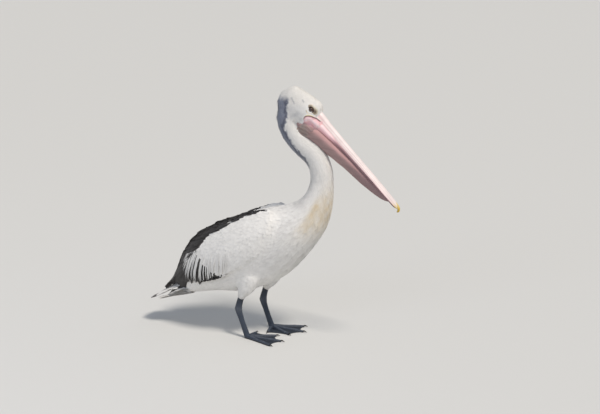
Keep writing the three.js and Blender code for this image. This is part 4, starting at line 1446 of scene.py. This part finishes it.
fan = np.linspace(-1, 1, TAIL_COUNT)
dice = np.random.default_rng(30)
tail_roots = np.stack([np.full(TAIL_COUNT, -345.0), fan * 24], -1)
tail_tips = np.stack([-487 + 20 * np.abs(fan) ** 2.2 + dice.normal(0, 2.2, TAIL_COUNT), fan * 50], -1)
places, normals = tail_lines(tail_roots, tail_tips, QUILL, 0.3)
shade = np.clip((np.array(shares_of(QUILL)) - 0.54) / 0.18, 0, 1)[None, :, None]
darkening = np.array(TAIL_BROWN) - np.array(TAIL_GREY)
tints = np.array(TAIL_GREY) + darkening * np.repeat(shade, TAIL_COUNT, axis=0)
tail_lift = (1.0 + 1.6 * (np.arange(TAIL_COUNT) % 2)) * MM
tail = feather_mesh(
    "tail_feathers", places, normals, QUILL, np.full(TAIL_COUNT, 17 * MM), tail_lift,
    np.full(TAIL_COUNT, 1.2 * MM), tints, ARCH, roll=np.radians(7) * np.sign(fan))
dress(tail, black_vane, "black_plumage", "tail")

# Name, level, count, first and last root along the tail, reach.
for name, level, count, first, last, reach in (
    ("tail_coverts_under", -1.0, 320, -286, -412, 62), ("tail_coverts_over", 1.0, 260, -318, -408, 50),
):
    dice = np.random.default_rng(int(31 + level))
    along = dice.uniform(0, 1, count)
    half = np.interp(first + (last - first) * along, TAIL_FORM[:, 0], TAIL_FORM[:, 2])
    aside = dice.uniform(-0.97, 0.97, count)
    starts = np.stack([first + (last - first) * along, aside * half * 0.94], -1)
    ends = starts + np.stack([-reach * dice.uniform(0.8, 1.1, count), aside * 10], -1)
    ends[:, 0] = np.maximum(ends[:, 0], -440 if level > 0 else -430)
    places, normals = tail_lines(starts, ends, CONTOUR, level)
    widths = np.full(count, 14 * MM)
    tints = np.tile(WHITE, (count, 1)) * dice.uniform(0.88, 1.0, (count, 1))
    if level > 0:
        tints = blend(tints, TAIL_BROWN, ramp(-np.abs(aside), -0.5, -0.3))
    lifts = dice.uniform(1, 2.4, count) * MM
    row = feather_mesh(name, places, normals, CONTOUR, widths, lifts, widths * 0.07, tints, ROOF, starts)
    dress(row, white_vane, "white_plumage")

# ---------------------------------------------------------------- legs and feet
# Scaled blue-black skin over each shank, its toes and the web between them. The soles are flat.

LEG_GRAIN = 0.0012
LEG_SLATE = linear(54, 64, 80)
LEG_DARK = linear(34, 40, 50)
LEG_PALE = linear(92, 98, 108)
STRIDE = {"right": -20.0, "left": 20.0}
HALF_STANCE = 76.0
# Each toe's reach from the joint, and its splay in degrees.
TOES = ((132, 24), (142, -3), (116, -31), (66, -82))
# Along a claw: distance past the toe's reach, height and radius.
CLAW = ((-4, 5.2, 2.6), (3, 6.6, 2.9), (9, 5.4, 2.1), (15, 2.3, 0.7))
CLAW_BLACK = linear(34, 31, 30)

leg_skin, tree, shader, finish_of = tinted_material("leg_skin", 0.5, 70.0, 0.25, 900.0)
scales = node(tree, "ShaderNodeTexVoronoi", feature="DISTANCE_TO_EDGE", Scale=330.0)
tree.links.new(node(tree, "ShaderNodeTexCoord").outputs["Object"], scales.inputs["Vector"])
plate = maths(tree, "SMOOTH_MIN", scales.outputs["Distance"], 0.16, 0.08)
seam = maths(tree, "MULTIPLY_ADD", plate, 2.4, 0.62)
tree.links.new(toned(tree, finish_of.outputs["Color"], seam), shader.inputs["Base Color"])
raise_bump(tree, shader, plate, 0.002, 0.8)

claw_horn = horn_material("claw_horn", 0.35, 0.2)
for side_name, sign in SIDES:
    leg = merged_copy(f"leg_{side_name}", (f"shank_{side_name}", f"foot_{side_name}"))
    leg.name = f"leg_skin_{side_name}"
    worked(leg, "DISPLACE", strength=0.0004, mid_level=0.0)
    worked(leg, "REMESH", mode="VOXEL", voxel_size=LEG_GRAIN)
    worked(leg, "SMOOTH", factor=0.5, iterations=7)
    points, normals = read_points(leg.data), read_points(leg.data, "normal")
    joint = placed((STRIDE[side_name], sign * HALF_STANCE, 0))
    x, y = ((points - joint) / MM)[:, 0], ((points - joint) / MM)[:, 1] * sign
    z = points[:, 2] / MM
    ridge = np.zeros(len(points))
    for reach, splay in TOES:
        way = (math.cos(math.radians(splay)), math.sin(math.radians(splay)))
        run_out, off = x * way[0] + y * way[1], np.abs(y * way[0] - x * way[1])
        on_toe = ramp(-off, -6.5, -4) * ramp(run_out, 12, 24) * ramp(-run_out, -reach, -reach + 6) * (z > 3)
        scutes = 0.45 * np.abs(np.sin(run_out * math.pi / 4.4)) + 0.3 * bell(run_out % 38, 20, 7)
        ridge = np.maximum(ridge, on_toe * scutes)
    rings_up = ramp(z, 20, 40) * ramp(x + 0.3 * z, -12, 8) * 0.35 * np.abs(np.sin(z * math.pi / 5))
    web = ramp(x, 22, 60) * (ridge < 0.05) * (z < 6) * 0.3
    web = web * np.sin(np.hypot(x, y) * 0.55 + 2 * np.sin(y * 0.12))
    points = points + normals * ((ridge + rings_up + web * (normals[:, 2] > 0.5)) * MM)[:, None]
    points[:, 2] = np.where(z < 1.4, 0.0, points[:, 2])
    leg.data.vertices.foreach_set("co", points.ravel())
    leg.data.update()
    tones = np.tile(LEG_SLATE, (len(points), 1))
    tones = blend(tones, LEG_DARK, np.clip(0.8 * ramp(-z, -8, -3) + 0.5 * ramp(z, 120, 160), 0, 1))
    tones = blend(tones, LEG_PALE, np.clip(0.5 * bell(z, 118, 14) + 0.9 * ridge, 0, 0.6))
    give_tint(leg, tones)
    leg.data.materials.append(leg_skin)
    pick(leg)
    bpy.ops.object.shade_smooth()
    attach(leg, "root")
    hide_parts(f"shank_{side_name}", f"foot_{side_name}")
    for number, (reach, splay) in enumerate(TOES, 1):
        # A curved claw drawn out of the end of each toe.
        keys = np.array(CLAW) + (reach, 0, 0)
        line = through(keys, np.linspace(0, 1, 18))
        way = np.array((math.cos(math.radians(splay)), sign * math.sin(math.radians(splay)), 0))
        aside = np.cross(way, (0, 0, 1))
        turns = np.radians(np.arange(16) / 16 * 360)
        rings = [
            joint + (way * run_out + np.array((0, 0, high))) * MM
            + (np.outer(np.cos(turns), aside) * 0.8 + np.outer(np.sin(turns), (0, 0, 1))) * radius * MM
            for run_out, high, radius in line]
        claw = wrapped_grid(f"toe_claw_{side_name}_{number}", rings)
        give_tint(claw, np.tile(CLAW_BLACK, (len(claw.data.vertices), 1)))
        claw.data.materials.append(claw_horn)
        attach(claw, "root")
        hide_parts(f"claw_{side_name}_{number}")
